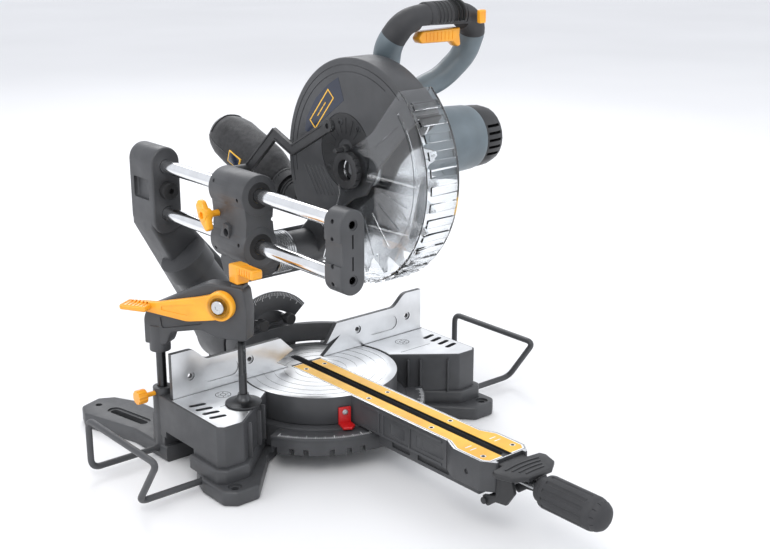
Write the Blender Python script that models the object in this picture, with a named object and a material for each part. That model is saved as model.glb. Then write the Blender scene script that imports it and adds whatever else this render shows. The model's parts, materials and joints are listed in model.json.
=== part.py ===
"""Sliding compound miter saw, 250 mm blade class, built as separate named pieces.

Lengths below are millimetres. The working frame has its origin at the turntable's axis on the table top,
+X to the operator's right, +Y away from the operator and +Z up. The root empty carries the whole saw to
its own frame, whose origin is the middle of the footprint at bench level.
"""

from math import atan2, cos, degrees, hypot, pi, radians, sin

import bmesh
import bpy
from mathutils import Matrix, Vector

MM = 0.001
GAP = 0.3

# Overall layout
TABLE_Z = 86.5
CENTRE_Y = 111.0
TABLE_R = 100.0
SKIRT_Z = -35.6
KERF_HALF = 7.0
PLATE_HALF = 23.4
FENCE_Y = 31.0
FENCE_END = 202.0
ARM_FRONT = -345.0

# Rails and carriage
RAIL_X = -103.0
RAIL_HIGH = 251.0
RAIL_LOW = 188.0
RAIL_R = 9.0
RAIL_Y = (-196.0, 244.0)
CARRIAGE_Y = (-23.0, 50.0)
HOUSING_R = 25.0

# Head
CHOP_Y, CHOP_Z = 50.0, 152.0
BLADE_Y, BLADE_Z = -97.0, 284.0
BLADE_R = 125.0
TEETH = 24
UPPER_R = 129.5
UPPER_HALF = 19.0
LOWER_R = 134.0
LOWER_HALF = 24.5
GUARD_FROM, GUARD_TO = -115.0, 50.0
MOTOR_Y, MOTOR_Z = -61.5, 290.0
MOTOR_R = 44.0
SPINDLE_TEETH, PINION_TEETH, MODULE = 24, 8, 2.25
MESH_ANGLE = degrees(atan2(MOTOR_Z - BLADE_Z, BLADE_Y - MOTOR_Y))

# Hold-down clamp and side extensions
POST_X, POST_Y = -197.0, 64.0
SPINDLE_X, SPINDLE_Y = -142.0, -33.0
WIRE_R = 4.0
WIRE_X = 300.0
WIRE_Z = -73.0

PIVOTS = {
    "base": (0, 0, 0),
    "turntable": (0, 0, 0),
    "miter_lock": (0, 0, -21),
    "detent_lever": (0, -352, -12),
    "bevel_arm": (0, 190, 0),
    "bevel_lock": (0, 256, 0),
    "carriage": (RAIL_X, 0, 220),
    "slide_lock": (-128, 38, 222),
    "head": (0, CHOP_Y, CHOP_Z),
    "trigger": (60, -108, 431),
    "lock_off": (147, -130, 452),
    "arbor": (0, BLADE_Y, BLADE_Z),
    "armature": (0, MOTOR_Y, MOTOR_Z),
    "lower_guard": (0, BLADE_Y, BLADE_Z),
    "guard_link": (-74, 78, 258),
    "clamp": (POST_X, POST_Y, 60),
    "clamp_cam": (-150.636, -17.770, 128),
    "clamp_screw": (SPINDLE_X, SPINDLE_Y, 100),
    "post_knob": (-212, POST_Y, 20),
    "left_extension": (-WIRE_X, 0, WIRE_Z),
    "right_extension": (WIRE_X, 0, WIRE_Z),
}

PAINT = {
    "casting": ((0.055, 0.057, 0.06), 0.5, 0.1),
    "plastic": ((0.03, 0.031, 0.033), 0.55, 0.0),
    "slate": ((0.15, 0.18, 0.2), 0.45, 0.0),
    "grip": ((0.035, 0.036, 0.038), 0.8, 0.0),
    "yellow": ((0.95, 0.45, 0.03), 0.4, 0.0),
    "plate": ((0.93, 0.55, 0.08), 0.45, 0.0),
    "red": ((0.6, 0.01, 0.01), 0.4, 0.0),
    "aluminium": ((0.72, 0.73, 0.74), 0.35, 1.0),
    "chrome": ((0.85, 0.86, 0.87), 0.12, 1.0),
    "steel": ((0.55, 0.56, 0.57), 0.3, 1.0),
    "blade": ((0.62, 0.63, 0.64), 0.25, 1.0),
    "clear": ((0.8, 0.83, 0.85), 0.1, 0.0),
    "fabric": ((0.02, 0.02, 0.022), 0.9, 0.0),
    "rubber": ((0.015, 0.015, 0.015), 0.85, 0.0),
    "copper": ((0.6, 0.3, 0.18), 0.4, 1.0),
    "bronze": ((0.45, 0.33, 0.16), 0.4, 1.0),
}


def clear_scene():
    for obj in list(bpy.data.objects):
        bpy.data.objects.remove(obj, do_unlink=True)


def temp(bm):
    bmesh.ops.recalc_face_normals(bm, faces=bm.faces)
    mesh = bpy.data.meshes.new("tmp")
    bm.to_mesh(mesh)
    bm.free()
    obj = bpy.data.objects.new("tmp", mesh)
    bpy.context.scene.collection.objects.link(obj)
    return obj


def soften(bm, width, segments=1, angle=35):
    edges = [e for e in bm.edges if len(e.link_faces) == 2 and degrees(e.calc_face_angle()) > angle]
    bmesh.ops.bevel(bm, geom=edges, offset=width, offset_type="OFFSET", segments=segments, profile=0.5,
                    affect="EDGES", clamp_overlap=True)


def turned(axis):
    """Matrix that takes local +Z to the named axis and keeps the profile's own x and y readable."""
    if axis == "z":
        return Matrix.Identity(4)
    if axis == "y":
        return Matrix(((1, 0, 0, 0), (0, 0, 1, 0), (0, 1, 0, 0), (0, 0, 0, 1)))
    return Matrix(((0, 0, 1, 0), (1, 0, 0, 0), (0, 1, 0, 0), (0, 0, 0, 1)))


def prism(axis, points, low, high, r=0.0, segments=1):
    """Outline swept along an axis: (x, y) for z, (x, z) for y, (y, z) for x."""
    bm = bmesh.new()
    face = bm.faces.new([bm.verts.new((a, b, low)) for a, b in points])
    top = bmesh.ops.extrude_face_region(bm, geom=[face])["geom"]
    bmesh.ops.translate(bm, vec=(0, 0, high - low), verts=[v for v in top if isinstance(v, bmesh.types.BMVert)])
    bm.transform(turned(axis))
    bmesh.ops.recalc_face_normals(bm, faces=bm.faces)
    if r:
        soften(bm, r, segments)
    return temp(bm)


def box(x0, x1, y0, y1, z0, z1, r=0.0, segments=1):
    return prism("z", [(x0, y0), (x1, y0), (x1, y1), (x0, y1)], z0, z1, r, segments)


def ring(count, radius, centre=(0, 0), start=0.0):
    return [(centre[0] + radius * cos(start + 2 * pi * i / count), centre[1] + radius * sin(start + 2 * pi * i / count))
            for i in range(count)]


def rod(axis, centre, radius, low, high, count=32, r=0.0):
    count = max(8, 2 * round(count * 0.25))
    return prism(axis, ring(count, radius, centre, pi / count), low, high, r)


def lathe(axis, centre, profile, count=32):
    """Profile of (radius, height) pairs turned about an axis through the centre; both ends meet the axis."""
    count = max(10, 2 * round(count * 0.25))
    bm = bmesh.new()
    verts = [bm.verts.new((max(a, 0.0), 0, h)) for a, h in profile]
    edges = [bm.edges.new(pair) for pair in zip(verts, verts[1:])]
    bmesh.ops.spin(bm, geom=verts + edges, cent=(0, 0, 0), axis=(0, 0, 1), angle=2 * pi, steps=count,
                   use_merge=True)
    bmesh.ops.remove_doubles(bm, verts=bm.verts, dist=0.002)
    move = {"z": (centre[0], centre[1], 0), "y": (centre[0], 0, centre[1]), "x": (0, centre[0], centre[1])}[axis]
    bm.transform(Matrix.Translation(move) @ turned(axis))
    return temp(bm)


def between(a, b, radius, radius_b=None, count=24):
    """Rod from point a to point b."""
    count = max(10, 2 * round(count * 0.3))
    a, b = Vector(a), Vector(b)
    bm = bmesh.new()
    span = b - a
    spin = Vector((0, 0, 1)).rotation_difference(span.normalized()).to_matrix().to_4x4()
    bmesh.ops.create_cone(bm, cap_ends=True, segments=count, radius1=radius,
                          radius2=radius if radius_b is None else radius_b, depth=span.length,
                          matrix=Matrix.Translation((a + b) / 2) @ spin)
    return temp(bm)


def rounded(points, radius, steps=5):
    """Path with its inner corners rounded to the radius."""
    points = [Vector(p) for p in points]
    path = [points[0]]
    for before, here, after in zip(points, points[1:], points[2:]):
        a = (before - here).normalized()
        b = (after - here).normalized()
        reach = min(radius, (before - here).length * 0.45, (after - here).length * 0.45)
        for i in range(steps + 1):
            t = i / steps
            path.append((here + a * reach) * (1 - t) ** 2 + here * 2 * t * (1 - t) + (here + b * reach) * t ** 2)
    path.append(points[-1])
    return path


def sweep(path, section, up=(0, 0, 1)):
    """Closed section of (side, up) offsets carried along a path, capped at both ends."""
    bm = bmesh.new()
    rows = []
    side_before = None
    for i, point in enumerate(path):
        ahead = path[min(i + 1, len(path) - 1)]
        behind = path[max(i - 1, 0)]
        run = (ahead - behind).normalized()
        side = run.cross(Vector(up))
        if side.length < 0.05 and side_before:
            side = side_before
        side = (side - run * side.dot(run)).normalized()
        if side_before and side.dot(side_before) < 0:
            side = -side
        side_before = side
        top = side.cross(run).normalized()
        sec = section(i / (len(path) - 1)) if callable(section) else section
        rows.append([bm.verts.new(point + side * s + top * t) for s, t in sec])
    for low, high in zip(rows, rows[1:]):
        for i in range(len(low)):
            j = (i + 1) % len(low)
            bm.faces.new((low[i], low[j], high[j], high[i]))
    bm.faces.new(rows[0])
    bm.faces.new(rows[-1])
    return temp(bm)


def combine(base, others, operation):
    for other in others:
        modifier = base.modifiers.new(operation, "BOOLEAN")
        modifier.operation = operation
        modifier.solver = "EXACT"
        modifier.object = other
        graph = bpy.context.evaluated_depsgraph_get()
        mesh = bpy.data.meshes.new_from_object(base.evaluated_get(graph))
        base.modifiers.clear()
        base.data = mesh
        bpy.data.objects.remove(other, do_unlink=True)
    return base


def moved(obj, matrix):
    obj.data.transform(matrix)
    return obj


def turn(axis, angle, about=(0, 0, 0)):
    return (Matrix.Translation(about) @ Matrix.Rotation(radians(angle), 4, axis.upper())
            @ Matrix.Translation([-c for c in about]))


EMPTIES = {}
MATERIALS = {}


def empty(body):
    if body not in EMPTIES:
        holder = bpy.data.objects.new(body + "_frame", None)
        holder.empty_display_size = 0.02
        bpy.context.scene.collection.objects.link(holder)
        px, py, pz = PIVOTS[body]
        holder.location = (px * MM, (py + CENTRE_Y) * MM, (pz + TABLE_Z) * MM)
        EMPTIES[body] = holder
    return EMPTIES[body]


def material(name):
    if name not in MATERIALS:
        colour, rough, metal = PAINT[name]
        made = bpy.data.materials.new(name)
        made.use_nodes = True
        made.diffuse_color = (*colour, 1)
        shader = made.node_tree.nodes["Principled BSDF"]
        shader.inputs["Base Color"].default_value = (*colour, 1)
        shader.inputs["Roughness"].default_value = rough
        shader.inputs["Metallic"].default_value = metal
        MATERIALS[name] = made
    return MATERIALS[name]


def piece(name, body, paint, shapes, cuts=(), smooth=True):
    """Joins the shapes, takes the cuts away and hangs the piece on its body's frame."""
    obj = shapes[0]
    combine(obj, shapes[1:], "UNION")
    combine(obj, cuts, "DIFFERENCE")
    bm = bmesh.new()
    bm.from_mesh(obj.data)
    bmesh.ops.remove_doubles(bm, verts=bm.verts, dist=0.004)
    bmesh.ops.dissolve_degenerate(bm, edges=bm.edges, dist=0.004)
    bmesh.ops.recalc_face_normals(bm, faces=bm.faces)
    bm.transform(Matrix.Scale(MM, 4) @ Matrix.Translation([-c for c in PIVOTS[body]]))
    bm.to_mesh(obj.data)
    bm.free()
    obj.name = name
    obj.data.name = name
    obj.data.materials.clear()
    obj.data.materials.append(material(paint))
    if smooth:
        obj.data.shade_smooth()
        obj.data.set_sharp_from_angle(angle=radians(32))
    obj.parent = empty(body)
    return obj


def around(angle, radius, centre=(BLADE_Y, BLADE_Z)):
    """Point (y, z) round the blade: 0 is towards the operator, 90 is up."""
    return (centre[0] - radius * cos(radians(angle)), centre[1] + radius * sin(radians(angle)))


def arc(low, high, radius, count=24, centre=(BLADE_Y, BLADE_Z)):
    return [around(low + (high - low) * i / count, radius, centre) for i in range(count + 1)]


def flat_arc(low, high, radius, count, start=-90.0):
    """Points (x, y) round the table's axis: angles run from straight ahead, positive to the right."""
    return [(radius * sin(radians(low + (high - low) * i / count)), -radius * cos(radians(low + (high - low) * i / count)))
            for i in range(count + 1)]


# --------------------------------------------------------------------------- base

WING = [(60, -20), (100, -20), (146, -58), (174, -80), (200, -80), (207, -73), (207, 72), (201, 78), (168, 78),
        (150, 58), (124, 50), (104, 36), (60, 36)]
PLINTH = [(60, -16), (104, -24), (146, -62), (172, -87), (204, -87), (213, -78), (213, -16), (150, 10), (60, 10)]
FOOT = [(60, -10), (112, -40), (176, -112), (206, -112), (219, -100), (219, -56), (211, -30), (150, -6), (60, 12)]
REAR_FOOT = [(96, 30), (207, 30), (210, 120), (236, 206), (226, 232), (196, 243), (176, 232), (158, 196),
             (150, 120), (96, 60)]
HOLLOW = [(116, -22), (150, -50), (176, -73), (200, -73), (200, 44), (116, 44)]


def slot(x, y, half_long, half_wide, angle):
    """Round-ended slot outline centred on (x, y)."""
    if half_long < half_wide:
        half_long, half_wide, angle = half_wide, half_long, angle + 90
    reach = half_long - half_wide
    points = []
    for start, offset in ((-90, reach), (90, -reach)):
        for i in range(4):
            a = radians(start + 60 * i)
            points.append((offset + half_wide * cos(a), half_wide * sin(a)))
    c, s = cos(radians(angle)), sin(radians(angle))
    return [(x + a * c - b * s, y + a * s + b * c) for a, b in points]


def base_casting():
    solids = []
    cuts = [rod("z", (0, 0), 101.8, -36.4, 4, 112)]
    for side in (1, -1):
        for outline, low, high, soft in ((WING, -54, 0, 0.0), (PLINTH, -70, -51, 0.0), (FOOT, -86.5, -68, 2.0),
                                         (REAR_FOOT, -86.5, -66, 2.0)):
            solids.append(prism("z", [(x * side, y) for x, y in outline], low, high, soft, 1))
        solids.append(box(*sorted((152 * side, 206 * side)), 50, 77, -80, -30))
        solids.append(rod("z", (197 * side, POST_Y), 12, -80, 8, 24))
        cuts.append(prism("z", [(x * side, y) for x, y in HOLLOW], -95, -7))
        cuts.append(box(*sorted((190 * side, 230 * side)), -20, 44, -95, -45))
        cuts.append(rod("z", (197 * side, POST_Y), 6.4, -90, 20, 24))
        cuts.append(rod("z", (200 * side, -97), 4.5, -95, -60, 20))
        cuts.append(rod("z", (207 * side, 220), 4.5, -95, -60, 20))
        cuts.append(prism("z", slot(194 * side, 162, 34, 5.5, 79 * side), -95, -60))
        for y in (-50, POST_Y):
            cuts.append(rod("x", (y, WIRE_Z), WIRE_R + 0.5, *sorted((90 * side, 240 * side)), count=20))
        for i in range(4):
            cuts.append(prism("z", slot(side * 188, -2 - 15 * i, 11, 3.4, 12 * side), -12, 4))
    cuts.append(rod("x", (POST_Y, 1), 3.4, -230, -199, 16))
    dish = rod("z", (0, 0), 112, -66, -36.4, 72)
    cuts.append(lathe("z", (0, 0), [(0, -70), (96, -70), (96, -50), (20, -50), (20, -64), (0, -64)], 48))
    cuts.append(rod("z", (0, 0), 8.3, -90, 4, 20))
    piece("base_casting", "base", "casting", [dish, *solids], cuts)
    bolt = [rod("z", (0, 0), 7.5, -72, -14, 20), rod("z", (0, 0), 15, -76, -66.3, 6)]
    piece("table_pivot_bolt", "base", "steel", bolt)


def fence(side):
    """One half of the fence; its inner end is notched so the tilted blade passes."""
    outline = [(28, 0.3), (60, 0.3), (202, 0.3), (202, 59), (176, 59)]
    outline += [(176 - 4 * i, 59 - 17 * (0.5 - 0.5 * cos(pi * i / 7))) for i in range(1, 8)]
    outline += [(52, 42), (34, 16), (58, 24)] if side > 0 else [(40, 42), (20, 22), (46, 10)]
    if side < 0:
        outline[0] = (29, 0.3)
    plate = prism("y", [(x * side, z) for x, z in outline], FENCE_Y, FENCE_Y + 7, 0.6, 1)
    foot = box(*sorted((124 * side, 188 * side)), FENCE_Y + 3, FENCE_Y + 20, 0.3, 7)
    cuts = [rod("y", (x * side, 25), 3.2, 20, 60, 20) for x in (88, 176)]
    cuts += [rod("z", (x * side, FENCE_Y + 14), 3.0, -4, 20, 16) for x in (136, 176)]
    name = "fence_right" if side > 0 else "fence_left"
    piece(name, "base", "aluminium", [plate, foot], cuts)


def fence_and_scale():
    fence(1)
    fence(-1)
    inner = flat_arc(112, 248, 104.5, 24)
    outer = flat_arc(112, 248, 112.5, 24)
    wall = prism("z", inner + outer[::-1], 0.3, 26)
    piece("fence_bridge", "base", "casting", [wall])
    plate = prism("z", flat_arc(-64, 64, 112.6, 20) + flat_arc(-64, 64, 137, 20)[::-1], -42, -38.4)
    rim = prism("z", flat_arc(-64, 64, 129, 20) + flat_arc(-64, 64, 135.5, 20)[::-1], -61, -40.5)
    web = prism("z", flat_arc(-64, 64, 112.6, 20) + flat_arc(-64, 64, 131, 20)[::-1], -47, -41.3)
    notches = []
    for angle in (-62, -52.5, -45, -31.6, -22.5, -15, 0, 15, 22.5, 31.6, 45, 52.5, 62):
        notch = box(-3.2, 3.2, -150, -110, -66, -53)
        notches.append(moved(notch, turn("z", angle)))
    piece("miter_scale_plate", "base", "casting", [plate, rim, web], notches)


# --------------------------------------------------------------------------- turntable

PLATE_EDGE = [(24, 29), (PLATE_HALF, 24), (PLATE_HALF, -273), (32.5, -292), (32.5, -334), (27, -341)]


def turntable():
    disc = rod("z", (0, 0), TABLE_R, SKIRT_Z, 0, 112)
    arm = box(-25.6, 25.6, -300, -60, SKIRT_Z - 0.3, -0.05)
    nose = [(-25.6, -270), (-35, -290), (-35, -333), (-24, -348), (24, -348), (35, -333), (35, -290), (25.6, -270)]
    front = prism("z", nose, -36.2, 0, 0.8)
    keel = box(-20, 20, -318, -142, -52, -30, 1.5)
    neck = box(-34, 34, 60, 147, SKIRT_Z + 1, -4)
    drum = rod("y", (0, 0), 48, 118, 150, 64)
    cheek = prism("y", [(-44, -30), (44, -30), (30, 30), (-30, 30)], 114, 130)
    solids = [disc, arm, front, keel, neck, drum, cheek]
    recess = [(PLATE_EDGE[0][0] + 0.3, 32)] + [(x + 0.3, y) for x, y in PLATE_EDGE[1:]] + [(27, -341.4)]
    recess = recess + [(-x, y) for x, y in recess[::-1]]
    cuts = [prism("z", recess, -3.3, 2)]
    cuts.append(prism("z", slot(0, -135, 196, 6.0, 90), -31, 2))
    cuts.append(rod("z", (0, 0), 8.3, -40, -13.5, 20))
    cuts.append(lathe("z", (0, 0), [(0, -40), (88, -40), (88, -34.5), (0, -34.5)], 48))
    cuts.append(rod("y", (0, 0), 8.3, 110, 152, 20))
    cuts.append(rod("y", (0, 0), 16, 108, 118.4, 24))
    cuts.append(rod("y", (0, -21), 5.4, -360, -300, 20))
    for side in (1, -1):
        for y0, y1 in ((-200, -168), (-268, -214)):
            cuts.append(box(*sorted((side * 17, side * 30)), y0, y1, -46, -39, 0.8, 1))
        cuts.append(box(*sorted((side * 24.6, side * 30)), -271, -269.6, -40, 2))
    cuts.append(box(-21, 21, -352, -343, -14, 4))
    piece("turntable", "turntable", "casting", solids, cuts)


def table_parts():
    for side, name in ((1, "kerf_plate_right"), (-1, "kerf_plate_left")):
        shape = [(KERF_HALF, 29)] + PLATE_EDGE + [(KERF_HALF, -341)]
        plate = prism("z", [(x * side, y) for x, y in shape], -3, 0.2, 0.3, 1)
        cuts = []
        for y in (10, -118, -232, -326):
            x = 15 if y > -300 else 23
            cuts.append(rod("z", (x * side, y), 2.2, -5, 3, 16))
        piece(name, "turntable", "plate", [plate], cuts)
    lean = turn("z", -20.5)
    upright = moved(box(-8, 8, -104, -100.6, -34, -13, 0.8), lean)
    toe = moved(prism("z", [(-8, -100.6), (8, -100.6), (10, -114), (4, -121), (-7, -119)], -36.4, -33, 0.6), lean)
    hole = moved(rod("y", (0, -19), 2.4, -110, -90, 16), lean)
    piece("miter_pointer", "turntable", "red", [upright, toe], [hole])
    low, high = -50, 50
    fan = arc(90 - high, 90 - low, 76, 30, (0, 0)) + arc(90 - low, 90 - high, 50, 30, (0, 0))
    outline = [(-y, z) for y, z in fan]
    fan = prism("y", outline, 110.4, 113.7, 0.4, 1)
    piece("bevel_scale", "turntable", "casting", [fan])
    for side, name in ((1, "bevel_stop_right"), (-1, "bevel_stop_left")):
        stem = rod("y", (side * 22, 38), 3.5, 96, 113.7, 16)
        knob = lathe("y", (side * 22, 38), [(0, 92), (7, 92), (8, 93), (8, 102), (6, 103), (0, 103)], 16)
        piece(name, "turntable", "plastic", [stem, knob])
    shank = rod("y", (0, 0), 8, 114, 236, 20)
    piece("bevel_pivot_bolt", "turntable", "steel", [shank, rod("y", (0, 0), 13, 113, 118, 24)])


def miter_handle():
    piece("miter_lock_rod", "miter_lock", "steel", [rod("y", (0, -21), 5, -404, -306, 20)])
    profile = [(5.3, -392), (13, -392), (14, -393), (14, -399), (17, -401), (19, -404), (19, -468), (18, -472),
               (17, -473), (17, -476), (12, -483), (0, -486)]
    grip = lathe("y", (0, -21), [(0, -405)] + [(5.3, -405)] + profile, 40)
    flutes = []
    for i in range(8):
        a = 2 * pi * i / 8
        flutes.append(rod("y", (20.4 * cos(a), -21 + 20.4 * sin(a)), 3.2, -466, -406, 12))
    piece("miter_lock_grip", "miter_lock", "grip", [grip], flutes)
    pad = [(-20, -344), (20, -344), (20, -352), (37, -354), (40, -362), (34, -380), (18, -391), (-18, -391),
           (-34, -380), (-40, -362), (-37, -354), (-20, -352)]
    blade = prism("z", pad, -9, -3, 1.6)
    solids = [blade]
    for side in (1, -1):
        cheek = [(-352, -8), (-372, -8), (-378, -26), (-366, -44), (-350, -46), (-338, -55), (-330, -52),
                 (-330, -44), (-350, -38)]
        solids.append(prism("x", cheek, *sorted((side * 22, side * 27)), 1.0))
    solids.append(rod("x", (-334, -49.0), 4, -30, 30, 20))
    solids.append(box(-22.5, 22.5, -372, -366, -14, -7))
    cuts = [rod("y", (0, -21), 8, -400, -320, 20)]
    piece("detent_lever", "detent_lever", "plastic", solids, cuts)


# --------------------------------------------------------------------------- bevel arm and slide

def stadium(x, low, high, radius, count=8):
    """Upright round-ended outline (x, z)."""
    top = [(x + radius * cos(pi * i / count), high + radius * sin(pi * i / count)) for i in range(count + 1)]
    bottom = [(x - radius * cos(pi * i / count), low - radius * sin(pi * i / count)) for i in range(count + 1)]
    return top + bottom


def bevel_arm():
    hub = rod("y", (0, 0), 48, 155, 226, 48, 1.5)
    leg = [(-124, 168), (-64, 56), (-44, 6), (-26, -36), (26, -36), (44, 6), (26, 50), (-2, 90), (-58, 156),
           (-82, 184), (-82, 200), (-124, 200)]
    spine = prism("y", leg, 196, 250, 3.0)
    block = prism("y", stadium(RAIL_X, 180, RAIL_HIGH + 4, 21), 190, 250, 2.0)
    barrel = between((-4, 190, 8), (-80, 190, 122), 32, 30, 40)
    collar = between((-70, 190, 107), (-84, 190, 128), 33.5, 33.5, 40)
    cuts = [rod("y", (RAIL_X, z), RAIL_R + GAP, 180, 246, 32) for z in (RAIL_LOW, RAIL_HIGH)]
    cuts.append(box(-130, -118, 201, 239, 206, 234, 2.0))
    cuts.append(rod("y", (0, 0), 8.3, 150, 260, 24))
    for z in (RAIL_LOW, RAIL_HIGH):
        cuts.append(rod("x", (214, z), 2.0, -130, -118, 12))
    for turn_about, low, high in ((-28, 28, 78), (28, 28, 78)):
        panel = box(-13, 13, 154, 163, low, high, 3.0)
        panel = moved(panel, turn("z", turn_about, (0, 190, 0)))
        cuts.append(moved(panel, turn("y", -33.7, (-2, 190, 6))))
    piece("bevel_arm", "bevel_arm", "casting", [hub, spine, block, barrel, collar], cuts)
    for z, name in ((RAIL_HIGH, "rail_upper"), (RAIL_LOW, "rail_lower")):
        piece(name, "bevel_arm", "chrome", [rod("y", (RAIL_X, z), RAIL_R, *RAIL_Y, 40)],
              [rod("y", (RAIL_X, z), RAIL_R - 2.5, -200, 250, 24)])
    outline = stadium(RAIL_X, RAIL_LOW, RAIL_HIGH, 17)
    front = prism("y", outline, -199, -169, 1.2)
    cuts = [rod("y", (RAIL_X, z), RAIL_R + GAP, -196.3, -160, 32) for z in (RAIL_LOW, RAIL_HIGH)]
    cuts += [rod("y", (RAIL_X, z), 4.6, -210, -190, 20) for z in (RAIL_LOW, RAIL_HIGH)]
    for z in (RAIL_HIGH, RAIL_LOW):
        cuts.append(rod("x", (-184, z), 2.2, -130, -112, 12))
    cuts.append(box(-121, -117.5, -205, -160, 206, 233, 0.8, 1))
    piece("rail_front_block", "bevel_arm", "casting", [front], cuts)
    bumper = lathe("y", (RAIL_X, 219.5), [(0, 178), (10, 178), (11.5, 179.5), (11.5, 189.7), (0, 189.7)], 32)
    piece("rail_bumper", "bevel_arm", "rubber", [bumper], [rod("y", (RAIL_X, 219.5), 4, 170, 184, 6)])
    boss = rod("y", (0, 0), 15, 250.4, 264, 32, 1.0)
    handle = box(-8, 8, 253, 261, -60, 0, 2.5)
    piece("bevel_lock_lever", "bevel_lock", "plastic", [boss, handle], [rod("y", (0, 0), 8.3, 245, 270, 24)])


def carriage():
    y0, y1 = CARRIAGE_Y
    upper = rod("y", (RAIL_X, RAIL_HIGH), HOUSING_R, y0, y1, 40, 1.2)
    lower = rod("y", (RAIL_X, RAIL_LOW), HOUSING_R, y0, y1, 40, 1.2)
    web = prism("y", [(RAIL_X - 23, RAIL_LOW), (RAIL_X - 19, 219.5), (RAIL_X - 23, RAIL_HIGH),
                      (RAIL_X + 23, RAIL_HIGH), (RAIL_X + 19, 219.5), (RAIL_X + 23, RAIL_LOW)], y0 + 1, y1 - 1)
    shelf = prism("x", [(-4, 172), (40, 182), (72, 176), (80, 150), (72, 128), (44, 126), (14, 150)], -96, -46, 2.0)
    near = rod("x", (CHOP_Y, CHOP_Z), 27, -72, -46, 40, 1.0)
    far = rod("x", (CHOP_Y, CHOP_Z), 23, 42, 56, 32, 1.0)
    far_arm = prism("x", [(48, 132), (70, 115), (86, 118), (87, 166), (60, 174)], 42.5, 55.5, 1.0)
    tie = prism("x", [(66, 128), (66, 114), (84, 114), (88, 128), (88, 166), (80, 172), (77, 160), (77, 134)],
                -62, 56, 1.0)
    link_lug = prism("x", [(26, 236), (40, 264), (78, 266), (87, 258), (84, 248), (50, 232)], -84, -77.5, 1.0)
    cuts = [rod("y", (RAIL_X, z), 13, -30, 60, 32) for z in (RAIL_LOW, RAIL_HIGH)]
    cuts.append(rod("x", (CHOP_Y, CHOP_Z), 8.3, -80, 60, 24))
    cuts.append(rod("x", (78, 258), 3.3, -90, -70, 16))
    cuts.append(rod("x", (38, 222), 4.4, -140, -112, 20))
    cuts.append(rod("x", (14, 203), 5.5, -140, -118, 24))
    cuts.append(rod("y", (-84, 219.5), 2.5, -30, -14, 16))
    piece("carriage", "carriage", "casting", [upper, lower, web, shelf, near, tie, far_arm, far, link_lug], cuts)
    for z, name in ((RAIL_HIGH, "bushing_upper"), (RAIL_LOW, "bushing_lower")):
        piece(name, "carriage", "bronze", [rod("y", (RAIL_X, z), 12.7, y0 + 1, y1 - 1, 32)],
              [rod("y", (RAIL_X, z), RAIL_R + 0.06, -40, 70, 40)])
    piece("chop_pivot_shaft", "carriage", "steel", [rod("x", (CHOP_Y, CHOP_Z), 8, -74, 60, 24)])
    stem = rod("x", (38, 222), 4, -135, -113.5, 20)
    hub = rod("x", (38, 222), 8, -146, -134, 24, 1.0)
    wing = prism("x", [(26, 206), (33, 202), (48, 216), (54, 232), (48, 240), (41, 238), (30, 222)], -145, -136, 2.0)
    piece("slide_lock_knob", "slide_lock", "yellow", [stem, hub, wing])


# --------------------------------------------------------------------------- head

def upper_guard():
    low, high = 33, 214
    centre = (BLADE_Y, BLADE_Z)
    shape = arc(low, high, UPPER_R, 30)
    shape += [around(235, 96), around(250, 52), around(-90, 36), around(-50, 36), around(-15, 38), around(8, 46),
              around(22, 70)]
    shell = prism("x", shape, -UPPER_HALF, UPPER_HALF, 1.0, 1)
    inner = arc(low + 3, high - 2, UPPER_R - 2.5, 30)
    inner += [around(high - 2, 150), around(235, 150), around(270, 150), around(310, 150), around(low + 3, 150)]
    hollow = prism("x", inner, -UPPER_HALF + 2.5, UPPER_HALF - 2.5)
    cuts = [hollow, rod("x", centre, 42.5, 5, 30, 40), rod("x", centre, 12.5, -30, 0, 28)]
    cuts.append(box(-12, 12, 18, 50, 222, 246))
    piece("upper_guard", "head", "casting", [shell], cuts)


def head():
    upper_guard()
    blade = (BLADE_Y, BLADE_Z)
    motor = (MOTOR_Y, MOTOR_Z)
    barrel = rod("x", blade, 42, 19.4, 48, 48, 1.0)
    flange = rod("x", motor, MOTOR_R + 3, 44, 58, 56, 1.0)
    spine = [around(200, 38), around(232, 38), (CHOP_Y - 6, CHOP_Z - 22), (CHOP_Y + 20, CHOP_Z - 8),
             (CHOP_Y + 16, CHOP_Z + 20), (0, 234)]
    arm = prism("x", spine, 20, 40, 2.0)
    boss = rod("x", (CHOP_Y, CHOP_Z), 23, -44, 41, 40, 1.0)
    cuts = [rod("x", (CHOP_Y, CHOP_Z), 8.3, -60, 60, 24), rod("x", blade, 9, 10, 30, 28)]
    cuts.append(rod("x", blade, 33, 26, 46, 48))
    cuts.append(rod("x", motor, 30, 40, 62, 48))
    cuts.append(rod("x", motor, 13, 25.8, 42, 32))
    piece("gear_case", "head", "casting", [barrel, flange, arm, boss], cuts)
    spring = rod("x", (CHOP_Y, CHOP_Z), 26.6, -42, -16, 48)
    coils = [rod("x", (CHOP_Y, CHOP_Z), 23.9, -50, 0, 48)]
    piece("head_spring", "head", "steel", [spring], coils)
    shell = lathe("x", motor, [(0, 58.3), (44, 58.3), (44.5, 62), (43.5, 150), (41.5, 190), (40, 196), (0, 196)], 72)
    inner = rod("x", motor, 37.5, 50, 205, 60)
    piece("motor_housing", "head", "slate", [shell], [inner])
    cap = lathe("x", motor, [(0, 196.3), (40, 196.3), (39.5, 214), (36, 226), (28, 233), (12, 236), (0, 236)], 48)
    cuts = [lathe("x", motor, [(0, 190), (35, 190), (34, 214), (28, 226), (0, 226)], 40)]
    for i in range(5):
        cuts.append(box(199, 222, MOTOR_Y - 50, MOTOR_Y + 50, MOTOR_Z - 20 + 9 * i, MOTOR_Z - 16.5 + 9 * i))
    piece("motor_cap", "head", "plastic", [cap], cuts)
    handle()
    dust()


def oval(wide, tall, count=20):
    return [(wide * cos(2 * pi * i / count), tall * sin(2 * pi * i / count)) for i in range(count)]


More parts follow.
